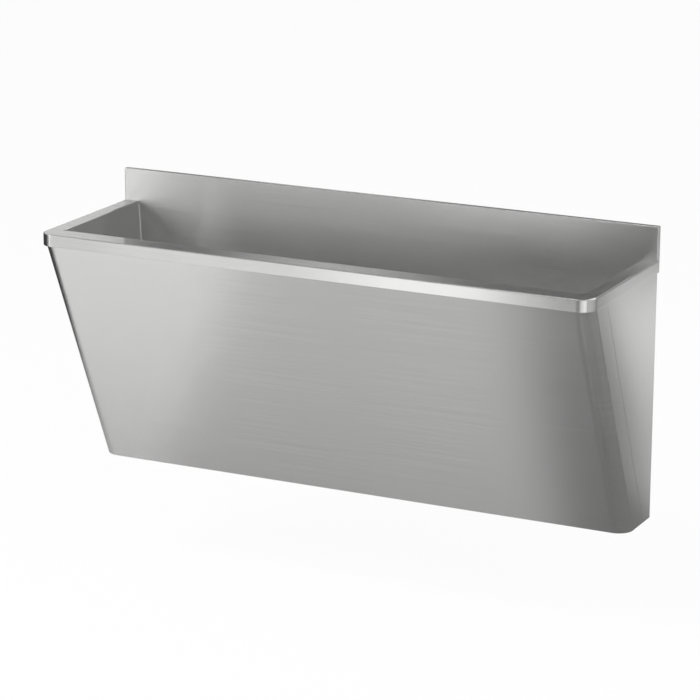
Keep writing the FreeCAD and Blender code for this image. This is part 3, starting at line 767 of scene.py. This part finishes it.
@dataclass
class Rim(FoldedSheet):
    """Ledge with rounded front corners, the hemmed band that hangs from it and the lip into the bowl."""

    name = "rim_ledge_and_band"
    nodes = ("rim",)
    corner: float = 35.0 * MM
    bowl_corner: float = 8.0 * MM
    band_bend: float = 3.0 * MM
    lip_bend: float = 2.5 * MM
    hem_height: float = 10.0 * MM
    ledge_steps: int = 10
    grain_row: int = 14                  # a line at the band's upper bend

    def outline(self, outer: Array, inner: Array, share: Array, height: Array) -> Array:
        """U lines between the ledge's outer outline and the bowl's opening.

        A line's half span, front and corner are the outer outline's, drawn in by outer, mixed by share with
        the opening's, let out by inner.

        Args:
            outer: Distance inside the outer outline.
            inner: Distance outside the bowl's opening.
            share: 0 on the outer outline and 1 on the opening.
            height: Z of each line.

        Returns:
            Points, as lines by places by three.
        """
        sizes = self.sizes
        half = (1 - share) * (sizes.half_width - outer) + share * (sizes.bowl_half + inner)
        front = (1 - share) * (-sizes.depth + outer) + share * (sizes.bowl_front - inner)
        corner = (1 - share) * (self.corner - outer) + share * (self.bowl_corner + inner)
        return u_rings(half, front, np.zeros_like(half), corner, height)

    def profile(self) -> list[Array]:
        """The folded sheet's outer face, from the hem's upper edge behind the band to the lip's lower edge.

        Returns:
            Distance in from the outer outline, distance out from the opening, share and height of each line.
        """
        sizes, sheet, band, lip = self.sizes, self.sizes.sheet, self.band_bend, self.lip_bend
        fold, over, down = arc(0.0, -180.0), arc(180.0, 90.0), arc(90.0, 0.0)
        fold_height = sizes.band_foot + sheet
        return joined(
            (2 * sheet, lip, 0.0, [sizes.band_foot + self.hem_height, fold_height + MM]),
            (sheet + sheet * np.cos(fold), lip, 0.0, fold_height + sheet * np.sin(fold)),
            (0.0, lip, 0.0, [fold_height + MM, sizes.ledge - band - MM]),
            (band + band * np.cos(over), lip, 0.0, sizes.ledge - band + band * np.sin(over)),
            (band, lip, eased(self.ledge_steps, near=0.02)[1:-1], sizes.ledge),
            (band, lip - lip * np.cos(down), 1.0, sizes.ledge - lip + lip * np.sin(down)),
            (band, 0.0, 1.0, [sizes.ledge - lip - MM, sizes.lip_foot]),
        )

    def skins(self) -> list[Skin]:
        """The one skin, with its grain round the band and along the sink on the ledge.

        Returns:
            Its points and grain.
        """
        outer, inner, share, height = self.profile()
        points = self.outline(outer, inner, share, height)
        grain = corners_of(grain_coordinates(points, self.grain_row))
        on_ledge = (share > 0.0) & (share < 1.0)
        ledge_rows = on_ledge[:-1] | on_ledge[1:]
        grain[ledge_rows] = corners_of(points[..., :2])[ledge_rows]
        return [(points, grain)]


@dataclass
class Upstand(FoldedSheet):
    """Folded splashback: front with two closed ends, top with its hem on the wall, and strip in the bowl."""

    name = "upstand_splashback"
    nodes = ("upstand",)
    bend: float = 2.5 * MM
    hem_bend: float = 1.5 * MM
    hem: float = 20.0 * MM
    lip_bend: float = 4.0 * MM
    corner_loss: float = 0.96            # share of the inset that a corner's radius loses, so some is left

    def front_and_ends(self) -> Array:
        """U lines up the front and the ends, drawn in on a quarter circle where the sheet turns over the top.

        Returns:
            Points, as lines by places by three.
        """
        sizes, bend, turn = self.sizes, self.bend, arc(0.0, 90.0)
        inset, height = joined(
            (0.0, [sizes.ledge, sizes.ledge + MM, sizes.top - bend - MM]),
            (bend - bend * np.cos(turn), sizes.top - bend + bend * np.sin(turn)),
        )
        return u_rings(sizes.half_width - inset, -sizes.upstand_depth + inset, np.zeros_like(inset),
                       bend - inset * self.corner_loss, height, side_steps=3, corner_steps=8)

    def top_and_hem(self) -> Array:
        """The level top, its bend at the wall and the hem that hangs from it, carried along the sink.

        Returns:
            Points, as lines by places by three.
        """
        sizes, bend, turn = self.sizes, self.hem_bend, arc(90.0, 0.0, SMALL_BEND_STEPS)
        front = -sizes.upstand_depth + self.bend
        y, z = joined(
            ([front, front + MM, -bend - MM], sizes.top),
            (-bend + bend * np.cos(turn), sizes.top - bend + bend * np.sin(turn)),
            (0.0, [sizes.top - bend - MM, sizes.top - self.hem]),
        )
        x = (sizes.half_width - self.bend) * both_ways(LONG_STEPS, LONG_NEAR)
        return grid_of(x[None, :], y[:, None], z[:, None])

    def strip(self) -> Array:
        """The part of the front that goes down behind the ledge's opening to meet the bowl.

        Returns:
            Points, as lines by places by three.
        """
        sizes = self.sizes
        x = (sizes.bowl_half + self.lip_bend) * both_ways(LONG_STEPS, LONG_NEAR)
        z = np.array([sizes.lip_foot, sizes.lip_foot + MM, sizes.ledge])
        return grid_of(x[None, :], -sizes.upstand_depth, z[:, None])

    def skins(self) -> list[Skin]:
        """The three skins, with their grain along the sink.

        Returns:
            Their points and grain.
        """
        skins = []
        for points in (self.front_and_ends(), self.top_and_hem(), self.strip()):
            grain = grain_coordinates(points, 0)
            grain[..., 0] += points[0, 0, 0]
            skins.append((points, corners_of(grain)))
        return skins


@dataclass
class Bowl(FoldedSheet):
    """Bowl with a sloping front, leaning ends, an upright rear wall and a floor that falls to a dished waste.

    It stands for three CAD sheets, whose welds are ground flush.
    """

    name = "bowl_trough"
    nodes = ("bowl", "bowl_end_left", "bowl_end_right")
    wrap = True
    shallow: float = 215.0 * MM
    deep: float = 245.0 * MM
    corner: float = 8.0 * MM
    rear_corner: float = 3.0 * MM
    floor_bend: float = 7.4 * MM
    end_lean: float = 0.055
    waste: tuple[float, float] = (500.0 * MM, -120.0 * MM)
    dish_radius: float = 48.0 * MM
    dish_depth: float = 6.0 * MM
    dish_bend: float = 2.0 * MM
    hole_radius: float = 26.0 * MM
    long_steps: int = 110
    cross_steps: int = 26
    wall_steps: int = 8
    floor_steps: int = 14
    settling_rounds: int = 4             # the floor's height depends on where a wall meets it
    grain_column: int = 40               # a line down the front wall
    level_bend_rows: int = 4             # rows of the floor's bend that have the floor's grain

    def floor_height(self, x: Array) -> Array:
        """Z of the floor's plane at each X: it falls evenly from the left end to the right end."""
        fall = (self.deep - self.shallow) / (2.0 * self.sizes.bowl_half)
        return self.sizes.ledge - (self.shallow + self.deep) / 2.0 - fall * x

    def turns(self) -> tuple[Array, Array]:
        """Places round the bowl: where each lies between the corners' centres, and which way is out.

        Returns:
            Shares from -1 to 1 in X and Y, and unit directions, each places by two.
        """
        along = both_ways(self.long_steps, near=0.0012)
        across = both_ways(self.cross_steps, SIDE_NEAR)
        quarter = arc(0.0, 90.0)[1:-1]
        shares, angles = [], []
        sides = ((along, -1.0, -90.0), (1.0, across, 0.0), (-along, 1.0, 90.0), (-1.0, -across, 180.0))
        for x, y, angle in sides:
            run = np.stack(np.broadcast_arrays(x, y), 1)
            shares += [run, np.repeat(run[-1:], len(quarter), 0)]
            angles += [np.full(len(run), math.radians(angle)), math.radians(angle) + quarter]
        turn = np.concatenate(angles)
        return np.concatenate(shares), np.stack([np.cos(turn), np.sin(turn)], 1)

    def wall_point(self, shares: Array, ways: Array, z: Array) -> Array:
        """Points on the walls at given heights: a round-cornered rectangle that shrinks with depth.

        The half length shrinks by the ends' lean and the front comes back by the skirt's slope for each unit
        below the lip. The rear wall stays upright. The corner radius goes evenly from the front one to the
        rear one.

        Args:
            shares: Shares between the corners' centres, places by two.
            ways: Unit directions outwards, places by two.
            z: Height of each point.

        Returns:
            Points, places by three.
        """
        sizes = self.sizes
        down = sizes.lip_foot - z
        corner = self.corner + (self.rear_corner - self.corner) * (1.0 + shares[:, 1]) / 2.0
        half = sizes.bowl_half - self.end_lean * down - corner
        front = sizes.bowl_front + sizes.slope * down
        back = -sizes.upstand_depth
        reach = (back - front) / 2.0 - corner
        x = shares[:, 0] * half + ways[:, 0] * corner
        y = (front + back) / 2.0 + shares[:, 1] * reach + ways[:, 1] * corner
        return np.stack([x, y, z], 1)

    def inside(self) -> tuple[Array, int]:
        """The bowl's inner face: down the walls, round into the floor, over it to the dish and to the hole.

        The bend between wall and floor is a quarter turn drawn as a rational curve between its two tangent
        points. The floor runs on straight lines from that bend to the dish's rim, as seen from the waste.

        Returns:
            Points, as lines by places by three, and the number of the first line on the floor.
        """
        shares, ways = self.turns()
        top = self.wall_point(shares, ways, np.full(len(shares), self.sizes.lip_foot))
        foot_z = self.floor_height(top[:, 0])
        for _ in range(self.settling_rounds):
            foot_z = self.floor_height(self.wall_point(shares, ways, foot_z)[:, 0])
        foot = self.wall_point(shares, ways, foot_z)
        wall_way = unit(top - foot)
        level = np.concatenate([-ways, np.zeros((len(ways), 1))], 1)
        ahead = foot + level * MM
        level[:, 2] = (self.floor_height(ahead[:, 0]) - foot_z) / MM
        floor_way = unit(level)
        turn = np.arccos(np.clip(-(wall_way * floor_way).sum(1), -1.0, 1.0))
        tangent = (self.floor_bend * np.tan(turn / 2.0))[:, None]
        weight = np.cos(turn / 2.0)[None, :, None]
        wall_end = foot + wall_way * tangent
        floor_start = foot + floor_way * tangent
        down = eased(self.wall_steps, near=0.006)[:-1, None, None]
        walls = top + down * (wall_end - top)
        t = np.linspace(0.0, 1.0, BEND_STEPS + 1)[:, None, None]
        weighted = (1 - t) ** 2 * wall_end + 2 * t * (1 - t) * weight * foot + t ** 2 * floor_start
        bend = weighted / ((1 - t) ** 2 + 2 * t * (1 - t) * weight + t ** 2)
        dish = self.dish(floor_start)
        over = eased(self.floor_steps, near=0.004)[1:-1, None, None]
        floor = floor_start + over * (dish[0] - floor_start)
        return np.concatenate([walls, bend, floor, dish]), len(walls) + len(bend)

    def dish(self, outside: Array) -> Array:
        """Rings from the dish's rim on the floor, over its edge, down its wall and in to the hole.

        Args:
            outside: Points round the floor, which give each place its bearing from the waste.

        Returns:
            Points, as lines by places by three.
        """
        bearing = np.arctan2(outside[:, 1] - self.waste[1], outside[:, 0] - self.waste[0])
        turn = arc(0.0, 90.0, DISH_STEPS)[:, None]
        inward = self.dish_bend * (1.0 - np.cos(turn))
        outward = self.dish_bend * (1.0 - np.sin(turn))
        radii = np.concatenate([
            self.dish_radius + outward,
            self.dish_radius - inward,
            [[self.hole_radius + MM], [self.hole_radius]],
        ])
        x = self.waste[0] + radii * np.cos(bearing)
        y = self.waste[1] + radii * np.sin(bearing)
        low = self.floor_height(self.waste[0]) - self.dish_depth
        edge = self.floor_height(x[:len(turn)]) - inward
        wall = np.broadcast_to(low + outward, edge.shape)
        return grid_of(x, y, np.concatenate([edge, wall, np.full((2, len(bearing)), low)]))

    def skins(self) -> list[Skin]:
        """The one skin, with its grain round the walls and along the sink on the floor.

        Returns:
            Its points and grain.
        """
        points, first_floor_row = self.inside()
        grain = corners_of(grain_coordinates(points, 0, self.grain_column, wrap=True))
        level = corners_of(np.concatenate([points, points[:, :1]], 1)[..., :2])
        level_rows = slice(first_floor_row - self.level_bend_rows, None)
        grain[level_rows] = level[level_rows]
        return [(points, grain)]


@dataclass
class Apron(FoldedSheet):
    """Sloping skirt front that wraps round both corners, with its tuck behind the band and lower return."""

    name = "apron_skirt"
    nodes = ("apron",)
    body = "apron"
    corner: float = 38.0 * MM
    lower_return: float = 20.0 * MM
    lower_bend: float = 2.0 * MM
    slope_rows: int = 10
    grain_row: int = 12                  # a line low on the slope

    def outside(self) -> Array:
        """The outer face from the return's inner edge, round the lower bend, up the slope and the tuck.

        Each line is a U. Below the band its front and its ends move back by the slope for each unit down.

        Returns:
            Points, as lines by places by three.
        """
        sizes, bend, turn = self.sizes, self.lower_bend, arc(-90.0, 0.0, SMALL_BEND_STEPS)
        inset, height = joined(
            ([self.lower_return, bend + MM], sizes.foot),
            (bend - bend * np.cos(turn), sizes.foot + bend + bend * np.sin(turn)),
            (0.0, np.linspace(sizes.foot + bend + MM, sizes.band_foot - MM, self.slope_rows)),
            (0.0, [sizes.band_foot, sizes.band_foot + MM, sizes.skirt_top - MM, sizes.skirt_top]),
        )
        set_back = sizes.set_back(height)
        return u_rings(sizes.skirt_half - inset, -sizes.skirt_front + set_back + inset,
                       -sizes.seam_top + set_back, self.corner - inset, height, side_steps=6, corner_steps=20)

    def skins(self) -> list[Skin]:
        """The one skin, with its grain round the sink."""
        points = self.outside()
        return [(points, corners_of(grain_coordinates(points, self.grain_row)))]


class Side(Enum):
    """Ends of the sink, with the sign of their X."""

    RIGHT = 1
    LEFT = -1


@dataclass
class SidePanel(FoldedSheet):
    """Flat side behind the seam, with its fold on the wall, lower return and joggled strip behind the apron.

    Its skins are drawn for the right side and mirrored for the left one.
    """

    side: Side = Side.RIGHT
    wall_return: float = 30.0 * MM
    wall_return_top: float = 60.0 * MM
    wall_bend: float = 1.5 * MM
    lower_return: float = 20.0 * MM
    lap: float = 15.0 * MM
    joggle: float = 2.0 * MM
    step_in: float = 1.8 * MM
    first_row: float = 20.0 * MM         # where the even rows start above the foot
    panel_rows: int = 12
    panel_steps: int = 12
    fold_rows: int = 14
    return_steps: int = 8

    @property
    def name(self) -> str:
        """The piece's name."""
        return f"{self.nodes[0]}_sheet"

    @property
    def nodes(self) -> tuple[str, ...]:
        """The CAD panel that it stands for."""
        return (f"side_panel_{self.side.name.lower()}",)

    def panel(self) -> Array:
        """The panel's outer face, from the strip behind the apron, out over the joggle and back to the wall.

        Its front edge follows the apron's rear edge, which slopes below the band and is upright behind it.

        Returns:
            Points of the right panel, as lines by places by three.
        """
        sizes = self.sizes
        foot = sizes.foot + sizes.sheet
        height = np.concatenate([
            [foot, foot + MM],
            np.linspace(foot + self.first_row, sizes.band_foot - MM, self.panel_rows),
            [sizes.band_foot, sizes.band_foot + MM, sizes.skirt_top],
        ])[:, None]
        edge = -sizes.seam_top + sizes.set_back(height) + sizes.seam_gap
        run = eased(self.panel_steps, near=0.006)[None, 1:]
        return grid_of(*joined(
            (sizes.skirt_half - self.step_in, edge + np.array([[-self.lap, -self.joggle, -MM]]), height),
            (sizes.skirt_half, edge, height),
            (sizes.skirt_half, edge + (-self.wall_bend - edge) * run, height),
            axis=1))

    def wall_fold(self) -> Array:
        """The narrow fold that lies flat on the wall, round its bend.

        Returns:
            Points of the right panel, as lines by places by three.
        """
        sizes, bend, turn = self.sizes, self.wall_bend, arc(0.0, 90.0, SMALL_BEND_STEPS)
        centre = sizes.skirt_half - bend
        x, y = joined(
            (centre + bend * np.cos(turn), -bend + bend * np.sin(turn)),
            ([centre - MM, centre - self.wall_return], 0.0),
        )
        z = np.linspace(sizes.foot + sizes.sheet, self.wall_return_top, self.fold_rows)
        return grid_of(x[None, :], y[None, :], z[:, None])

    def lower_fold(self) -> Array:
        """The return along the lower edge, round its bend.

        Returns:
            Points of the right panel, as lines by places by three.
        """
        sizes, bend, turn = self.sizes, self.sizes.sheet, arc(-90.0, 0.0, SMALL_BEND_STEPS)
        x, z = joined(
            ([sizes.skirt_half - self.lower_return, sizes.skirt_half - bend - MM], sizes.foot),
            (sizes.skirt_half - bend + bend * np.cos(turn), sizes.foot + bend + bend * np.sin(turn)),
        )
        start = -sizes.seam_foot + sizes.seam_gap
        y = start + (-sizes.sheet - start) * eased(self.return_steps, near=0.02)
        return grid_of(x[:, None], y[None, :], z[:, None])

    def skins(self) -> list[Skin]:
        """The three skins, with their grain level.

        Returns:
            Their points and grain.
        """
        skins = []
        for points in (self.panel(), self.wall_fold(), self.lower_fold()):
            if self.side is Side.LEFT:
                points = points[:, ::-1] * np.array([-1.0, 1.0, 1.0])
            x, y, z = np.moveaxis(points, 2, 0)
            skins.append((points, corners_of(grid_of(y - x * self.side.value, z))))
        return skins


@dataclass
class KeptShapes:
    """A sub-assembly whose nodes keep their CAD shapes, listed by the slot of their finish."""

    nodes: ClassVar[dict[Slot, tuple[str, ...]]]

    def dress(self, finishes: dict[Slot, Material]) -> None:
        """Gives each node its finish through its object's material slots.

        Args:
            finishes: The finish of each slot.
        """
        for slot, names in self.nodes.items():
            material = finishes[slot]
            for name in names:
                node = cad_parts[name]
                if not node.material_slots:
                    node.data.materials.append(material)
                for place in node.material_slots:
                    place.material = material
                log.info("%s: %s", name, material.name)


@dataclass
class HiddenFrame(KeptShapes):
    """Stiffeners, brackets, fasteners and wall fixing."""

    nodes = {
        Slot.MILL: ("front_channel", "ledge_angle_left", "ledge_angle_right", "apron_bracket_left",
                    "apron_bracket_right", "support_rib_left", "support_rib_right", "hanging_cleat"),
        Slot.ZINC: ("wall_rail", "apron_nuts", "earth_washer"),
        Slot.POLISHED: ("apron_screws", "earth_stud"),
        Slot.BRASS: ("earth_nut",),
        Slot.BITUMEN: ("sound_pad_left", "sound_pad_right"),
    }


@dataclass
class Waste(KeptShapes):
    """Waste outlet, strainer and bottle trap."""

    nodes = {
        Slot.POLISHED: ("waste_flange", "strainer", "wall_rosette"),
        Slot.RUBBER: ("waste_gasket", "underside_gasket", "inlet_washer", "outlet_washer", "cup_seal"),
        Slot.PLASTIC: ("waste_backnut", "inlet_nut", "dip_tube", "trap_body", "outlet_nut", "outlet_pipe",
                       "trap_cup"),
    }


def only_in_reflections(thing: Thing) -> None:
    """Lets nothing but reflections see a stage object.

    Args:
        thing: The object.
    """
    thing.visible_camera = False
    thing.visible_diffuse = False
    thing.visible_shadow = False


def grid_faces(points: Array) -> Array:
    """Point numbers at the corners of a grid's faces."""
    return corners_of(np.arange(points[..., 0].size).reshape(points.shape[:2]))


class Stand(Enum):
    """How a reflection card stands: the axes of its width, its height and its offset."""

    LYING = (0, 1, 2)
    FACING_WALL = (0, 2, 1)
    FACING_END = (1, 2, 0)


@dataclass(frozen=True)
class Card:
    """A flat card with soft edges beside the sink, seen only in reflections.

    A photographer stands bright and dark cards like it beside polished metal, which has no look of its own.
    """

    name: str
    stand: Stand
    offset: float
    first: tuple[float, float]           # ends of its width
    second: tuple[float, float]          # ends of its height
    level: float                         # the light that it gives
    soft: tuple[float, float, float, float]  # widths of its soft edges, at the ends of first and of second
    cover: float = 1.0                   # how much it hides of what is behind it
    slant: float = 0.0                   # how far it leans along first as it rises
    bow: float = 0.0                     # and how much more for each square of the rise

    def paint(self, width: float, height: float) -> Material:
        """Makes its material.

        Its light is the level, and it hides what is behind it by the product of its cover and four smooth
        ramps, one up from each edge over that edge's soft width.

        Args:
            width: The card's width.
            height: The card's height.

        Returns:
            The material.
        """
        material, tree = new_material(self.name)
        uv = add_node(tree, "ShaderNodeUVMap", {"uv_map": CARD_UV})
        parts = add_node(tree, "ShaderNodeSeparateXYZ", inputs={0: uv.outputs["UV"]})
        share = self.cover
        for axis, start, end in ((0, 0.0, self.soft[0]), (0, width, width - self.soft[1]),
                                 (1, 0.0, self.soft[2]), (1, height, height - self.soft[3])):
            ramp = add_node(tree, "ShaderNodeMapRange", {"interpolation_type": "SMOOTHSTEP"}, {
                "Value": parts.outputs[axis], "From Min": start, "From Max": end})
            share = reckoned(tree, "MULTIPLY", share, ramp.outputs["Result"])
        clear = add_node(tree, "ShaderNodeBsdfTransparent").outputs["BSDF"]
        surface_output(tree, mixed(tree, share, clear, emission(tree, self.level)))
        return material

    def build(self) -> None:
        """Makes the card.

        It is a rectangle whose level lines move along by the slant times their rise above its lower edge,
        plus the bow times that rise squared.
        """
        width, height = (ends[1] - ends[0] for ends in (self.first, self.second))
        steps = np.linspace(0.0, 1.0, CARD_STEPS + 1)
        u, v = np.meshgrid(steps, steps)
        rise = v * height
        points = np.empty((*u.shape, 3))
        along, up, off = self.stand.value
        points[..., along] = self.first[0] + u * width + self.slant * rise + self.bow * rise ** 2
        points[..., up] = self.second[0] + rise
        points[..., off] = self.offset
        only_in_reflections(meshed(self.name, points, grid_faces(points), self.paint(width, height), CARD_UV,
                                   corners_of(grid_of(u * width, rise))))


@dataclass(frozen=True)
class Lamp:
    """A soft square lamp that metal doesn't mirror."""

    name: str
    place: Place
    side: float
    power: float

    def build(self, target: Place) -> None:
        """Makes the lamp and points it.

        Args:
            target: The point that it faces.
        """
        light = bpy.data.lights.new(self.name, "AREA")
        light.shape = "SQUARE"
        light.size = self.side
        light.energy = self.power
        lamp = linked(self.name, light)
        turned = (Vector(self.place) - Vector(target)).to_track_quat("Z", "Y").to_matrix().to_4x4()
        lamp.matrix_world = Matrix.Translation(Vector(self.place)) @ turned
        lamp.visible_glossy = False


@dataclass
class Studio:
    """Plain pale floor, soft lamps, a grey reflection tent above the floor and the camera."""

    floor_height: float = -800.0 * MM
    floor_half: float = 60.0
    floor_lines: int = 3
    floor_colour: str = "#E6E6E6"
    floor_seen_white: float = 0.95       # its share of white to the camera
    floor_mirrored_white: float = 0.1    # and in reflections
    plain_level: float = 0.5             # the background's light on matt surfaces
    tent_radius: float = 40.0
    tent_level: float = 0.60
    target: Place = (0.012714, -0.200, -0.150291)
    azimuth: float = 26.078
    elevation: float = 15.562
    roll: float = 0.226
    distance: float = 7.128017
    lens: float = 156.56
    sensor: float = 36.0
    clip_end: float = 300.0
    lamps: tuple[Lamp, ...] = (
        Lamp("key_lamp", (-2.4, -3.2, 3.2), 2.6, 205.0),
        Lamp("fill_lamp", (3.4, -2.4, 2.6), 2.6, 90.0),
    )

    def rays(self, tree: Tree) -> tuple[Socket, Socket]:
        """Tells rays apart.

        Args:
            tree: The node tree that asks.

        Returns:
            One for rays from the camera, and one for rays that metal or glass sends on.
        """
        path = add_node(tree, "ShaderNodeLightPath").outputs
        mirrored = reckoned(tree, "MAXIMUM", path["Is Glossy Ray"], path["Is Transmission Ray"])
        return path["Is Camera Ray"], mirrored

    def make_world(self) -> None:
        """White background for the camera, metal and glass, and a plain level for everything else."""
        world = bpy.data.worlds.new("studio")
        bpy.context.scene.world = world
        world.use_nodes = True
        tree = world.node_tree
        tree.nodes.clear()
        plain, white = (
            add_node(tree, "ShaderNodeBackground", inputs={"Color": linear(WHITE), "Strength": level})
            for level in (self.plain_level, 1.0))
        seen = reckoned(tree, "MAXIMUM", *self.rays(tree))
        backdrop = mixed(tree, seen, plain.outputs["Background"], white.outputs["Background"])
        add_node(tree, "ShaderNodeOutputWorld", inputs={"Surface": backdrop})

    def make_floor(self) -> None:
        """Level pale floor that shows white to the camera and keeps a faint shadow."""
        material, tree = new_material("pale_studio_floor")
        matt = add_node(tree, "ShaderNodeBsdfDiffuse", inputs={"Color": linear(self.floor_colour)})
        camera, mirrored = self.rays(tree)
        share = reckoned(tree, "ADD", reckoned(tree, "MULTIPLY", camera, self.floor_seen_white),
                         reckoned(tree, "MULTIPLY", mirrored, self.floor_mirrored_white))
        surface_output(tree, mixed(tree, share, matt.outputs["BSDF"], emission(tree, 1.0)))
        run = np.linspace(-self.floor_half, self.floor_half, self.floor_lines)
        points = grid_of(run[None, :], run[:, None], self.floor_height)
        meshed("studio_floor", points, grid_faces(points), material)

    def make_tent(self) -> None:
        """Grey cloth dome above the floor, seen only in reflections, so that the metal has darks to show."""
        material, tree = new_material("grey_reflection_tent")
        surface_output(tree, emission(tree, self.tent_level))
        up = arc(0.0, 90.0, TENT_STEPS[0])[:, None]
        turn = arc(0.0, 360.0, TENT_STEPS[1])[None, :]
        points = self.tent_radius * grid_of(np.cos(up) * np.cos(turn), np.cos(up) * np.sin(turn), np.sin(up))
        points[..., 2] += self.floor_height
        only_in_reflections(meshed("reflection_tent", points, grid_faces(points), material))

    def make_camera(self) -> None:
        """Camera at the photograph's angle: back along its line of sight from the target, then rolled."""
        turn, rise, roll = (math.radians(angle) for angle in (self.azimuth, self.elevation, self.roll))
        back = Vector((math.sin(turn) * math.cos(rise), -math.cos(turn) * math.cos(rise), math.sin(rise)))
        level = Vector((math.cos(turn), math.sin(turn), 0.0))
        upright = back.cross(level)
        right = level * math.cos(roll) + upright * math.sin(roll)
        up = upright * math.cos(roll) - level * math.sin(roll)
        data = bpy.data.cameras.new("photo_camera")
        data.sensor_width = self.sensor
        data.lens = self.lens
        data.clip_end = self.clip_end
        camera = linked("photo_camera", data)
        eye = Vector(self.target) + back * self.distance
        camera.matrix_world = Matrix.Translation(eye) @ Matrix((right, up, back)).transposed().to_4x4()
        bpy.context.scene.camera = camera

    def cards(self) -> tuple[Card, ...]:
        """Bright and dark cards that give the steel the soft light and dark zones of a studio photograph.

        Returns:
            The cards.
        """
        lying, wall, end = Stand.LYING, Stand.FACING_WALL, Stand.FACING_END
        return (
            # The cards lying just above the floor paint the floor's light and shade as the steel sees it: the
            # mid card is a grey floor tone, and the shade, right and corner cards are painted shade under,
            # behind and to the right of the sink, where its shadow and the key lamp's falloff darken the
            # floor.
            Card("mid_floor_card", lying, -0.790, (-0.78, 3.0), (-2.0, 1.0), 0.62, (0.20, 0.5, 0.5, 0.5)),
            Card("shade_floor_card", lying, -0.785, (-3.0, 3.0), (-0.85, 1.5), 0.27, (0.4, 0.5, 0.8, 0.5),
                 cover=0.55),
            Card("right_floor_painted_shade", lying, -0.780, (-0.29, 2.6), (-1.6, 3.8), 0.20, (0.20, 0.6, 0.5, 0.6),
                 slant=0.46),
            Card("corner_floor_painted_shade", lying, -0.770, (0.90, 1.40), (-0.98, -0.15), 0.13,
                 (0.24, 0.20, 0.2, 0.45), slant=-0.5),
            Card("left_floor_card", lying, -0.775, (-7.0, -1.4), (-3.0, 7.0), 0.06, (0.5, 0.5, 1.4, 0.5)),
            Card("left_flag", end, -4.60, (-2.6, 5.4), (-0.8, 1.5), 0.04, (0.8, 0.5, 0.02, 0.6)),
            Card("front_card", wall, -2.60, (-2.9, -0.20), (-0.8, 0.5), 0.75, (1.4, 0.10, 0.02, 0.2)),
            Card("front_bright_card", wall, -2.58, (-1.20, -0.3), (-0.8, 0.4), 1.95, (0.50, 0.22, 0.02, 0.2)),
            Card("front_upper_card", wall, -2.57, (-2.5, -0.70), (0.0, 1.0), 1.75, (0.3, 0.30, 0.2, 0.25)),
            Card("front_ledge_flag", wall, -2.56, (-0.78, 0.7), (0.30, 2.2), 0.06, (0.16, 0.3, 0.20, 0.4)),
            Card("front_low_flag", wall, -2.55, (-2.40, -1.72), (-0.8, -0.10), 0.25, (0.3, 0.20, 0.02, 0.3),
                 cover=0.7),
            Card("front_left_card", wall, -2.59, (-3.4, -1.95), (-0.15, 1.3), 3.8, (0.5, 0.12, 0.15, 0.3)),
            Card("front_right_card", wall, -1.60, (0.75, 3.0), (-0.46, 0.14), 2.7, (1.1, 0.7, 0.15, 0.28)),
            Card("front_dark_card", wall, -1.58, (0.06, 1.00), (-0.50, 0.7), 0.12, (0.26, 0.40, 0.20, 0.3)),
            Card("front_high_card", wall, -3.00, (-1.9, 0.0), (3.4, 6.5), 4.6, (0.5, 0.4, 0.5, 0.8)),
            Card("right_card", end, 2.40, (-1.6, 1.5), (-0.5, 0.3), 0.85, (0.5, 0.2, 0.15, 0.3)),
            Card("right_flag", wall, 4.00, (2.26, 3.6), (-0.8, 3.0), 0.04, (0.12, 0.2, 0.02, 0.5)),
            Card("rear_right_low_card", wall, 0.72, (0.30, 1.014), (-0.8, -0.05), 0.60,
                 (0.1, 0.08, 0.02, 0.25), slant=0.21),
            Card("rear_right_card", wall, 0.70, (0.35, 1.064), (-0.56, -0.08), 1.28, (0.1, 0.08, 0.54, 0.10),
                 slant=0.21),
            Card("rear_left_card", wall, 5.55, (-5.8, -3.62), (-0.3, 1.4), 3.3, (0.3, 0.25, 0.3, 0.4)),
            Card("rear_left_flag", wall, 5.60, (-3.88, -1.6), (0.9, 9.0), 0.02, (0.06, 0.4, 0.3, 0.5),
                 slant=-0.145, bow=-0.024),
            Card("rear_mid_flag", wall, 5.62, (-3.4, -0.7), (-0.2, 14.0), 0.02, (0.4, 0.4, 0.3, 0.5)),
            Card("rear_mid_card", wall, 5.52, (-3.75, -2.1), (0.7, 2.8), 1.7, (0.8, 0.8, 0.4, 0.6)),
            Card("high_rear_card", wall, 5.50, (-1.0, 3.6), (3.5, 8.5), 3.4, (0.5, 0.6, 0.4, 0.6)),
            Card("front_flag", wall, -4.00, (-5.2, -0.6), (1.3, 5.0), 0.05, (0.3, 0.5, 0.3, 0.5)),
        )

    def build(self) -> None:
        """Makes the whole studio and sets the plain view transform."""
        self.make_camera()
        self.make_world()
        self.make_floor()
        self.make_tent()
        for card in self.cards():
            card.build()
        for lamp in self.lamps:
            lamp.build(self.target)
        bpy.context.scene.view_settings.view_transform = "Standard"


def main() -> None:
    """Builds the studio and every sub-assembly in order."""
    Studio().build()
    finishes = {slot: finish.build(name) for slot, (name, finish) in FINISHES.items()}
    sizes = SinkSizes()
    for sheet in (Rim(sizes), Upstand(sizes), Bowl(sizes), Apron(sizes), SidePanel(sizes),
                  SidePanel(sizes, Side.LEFT)):
        sheet.build(finishes[Slot.SATIN])
    for kept in (HiddenFrame(), Waste()):
        kept.dress(finishes)


if __name__ == "__main__":
    main()
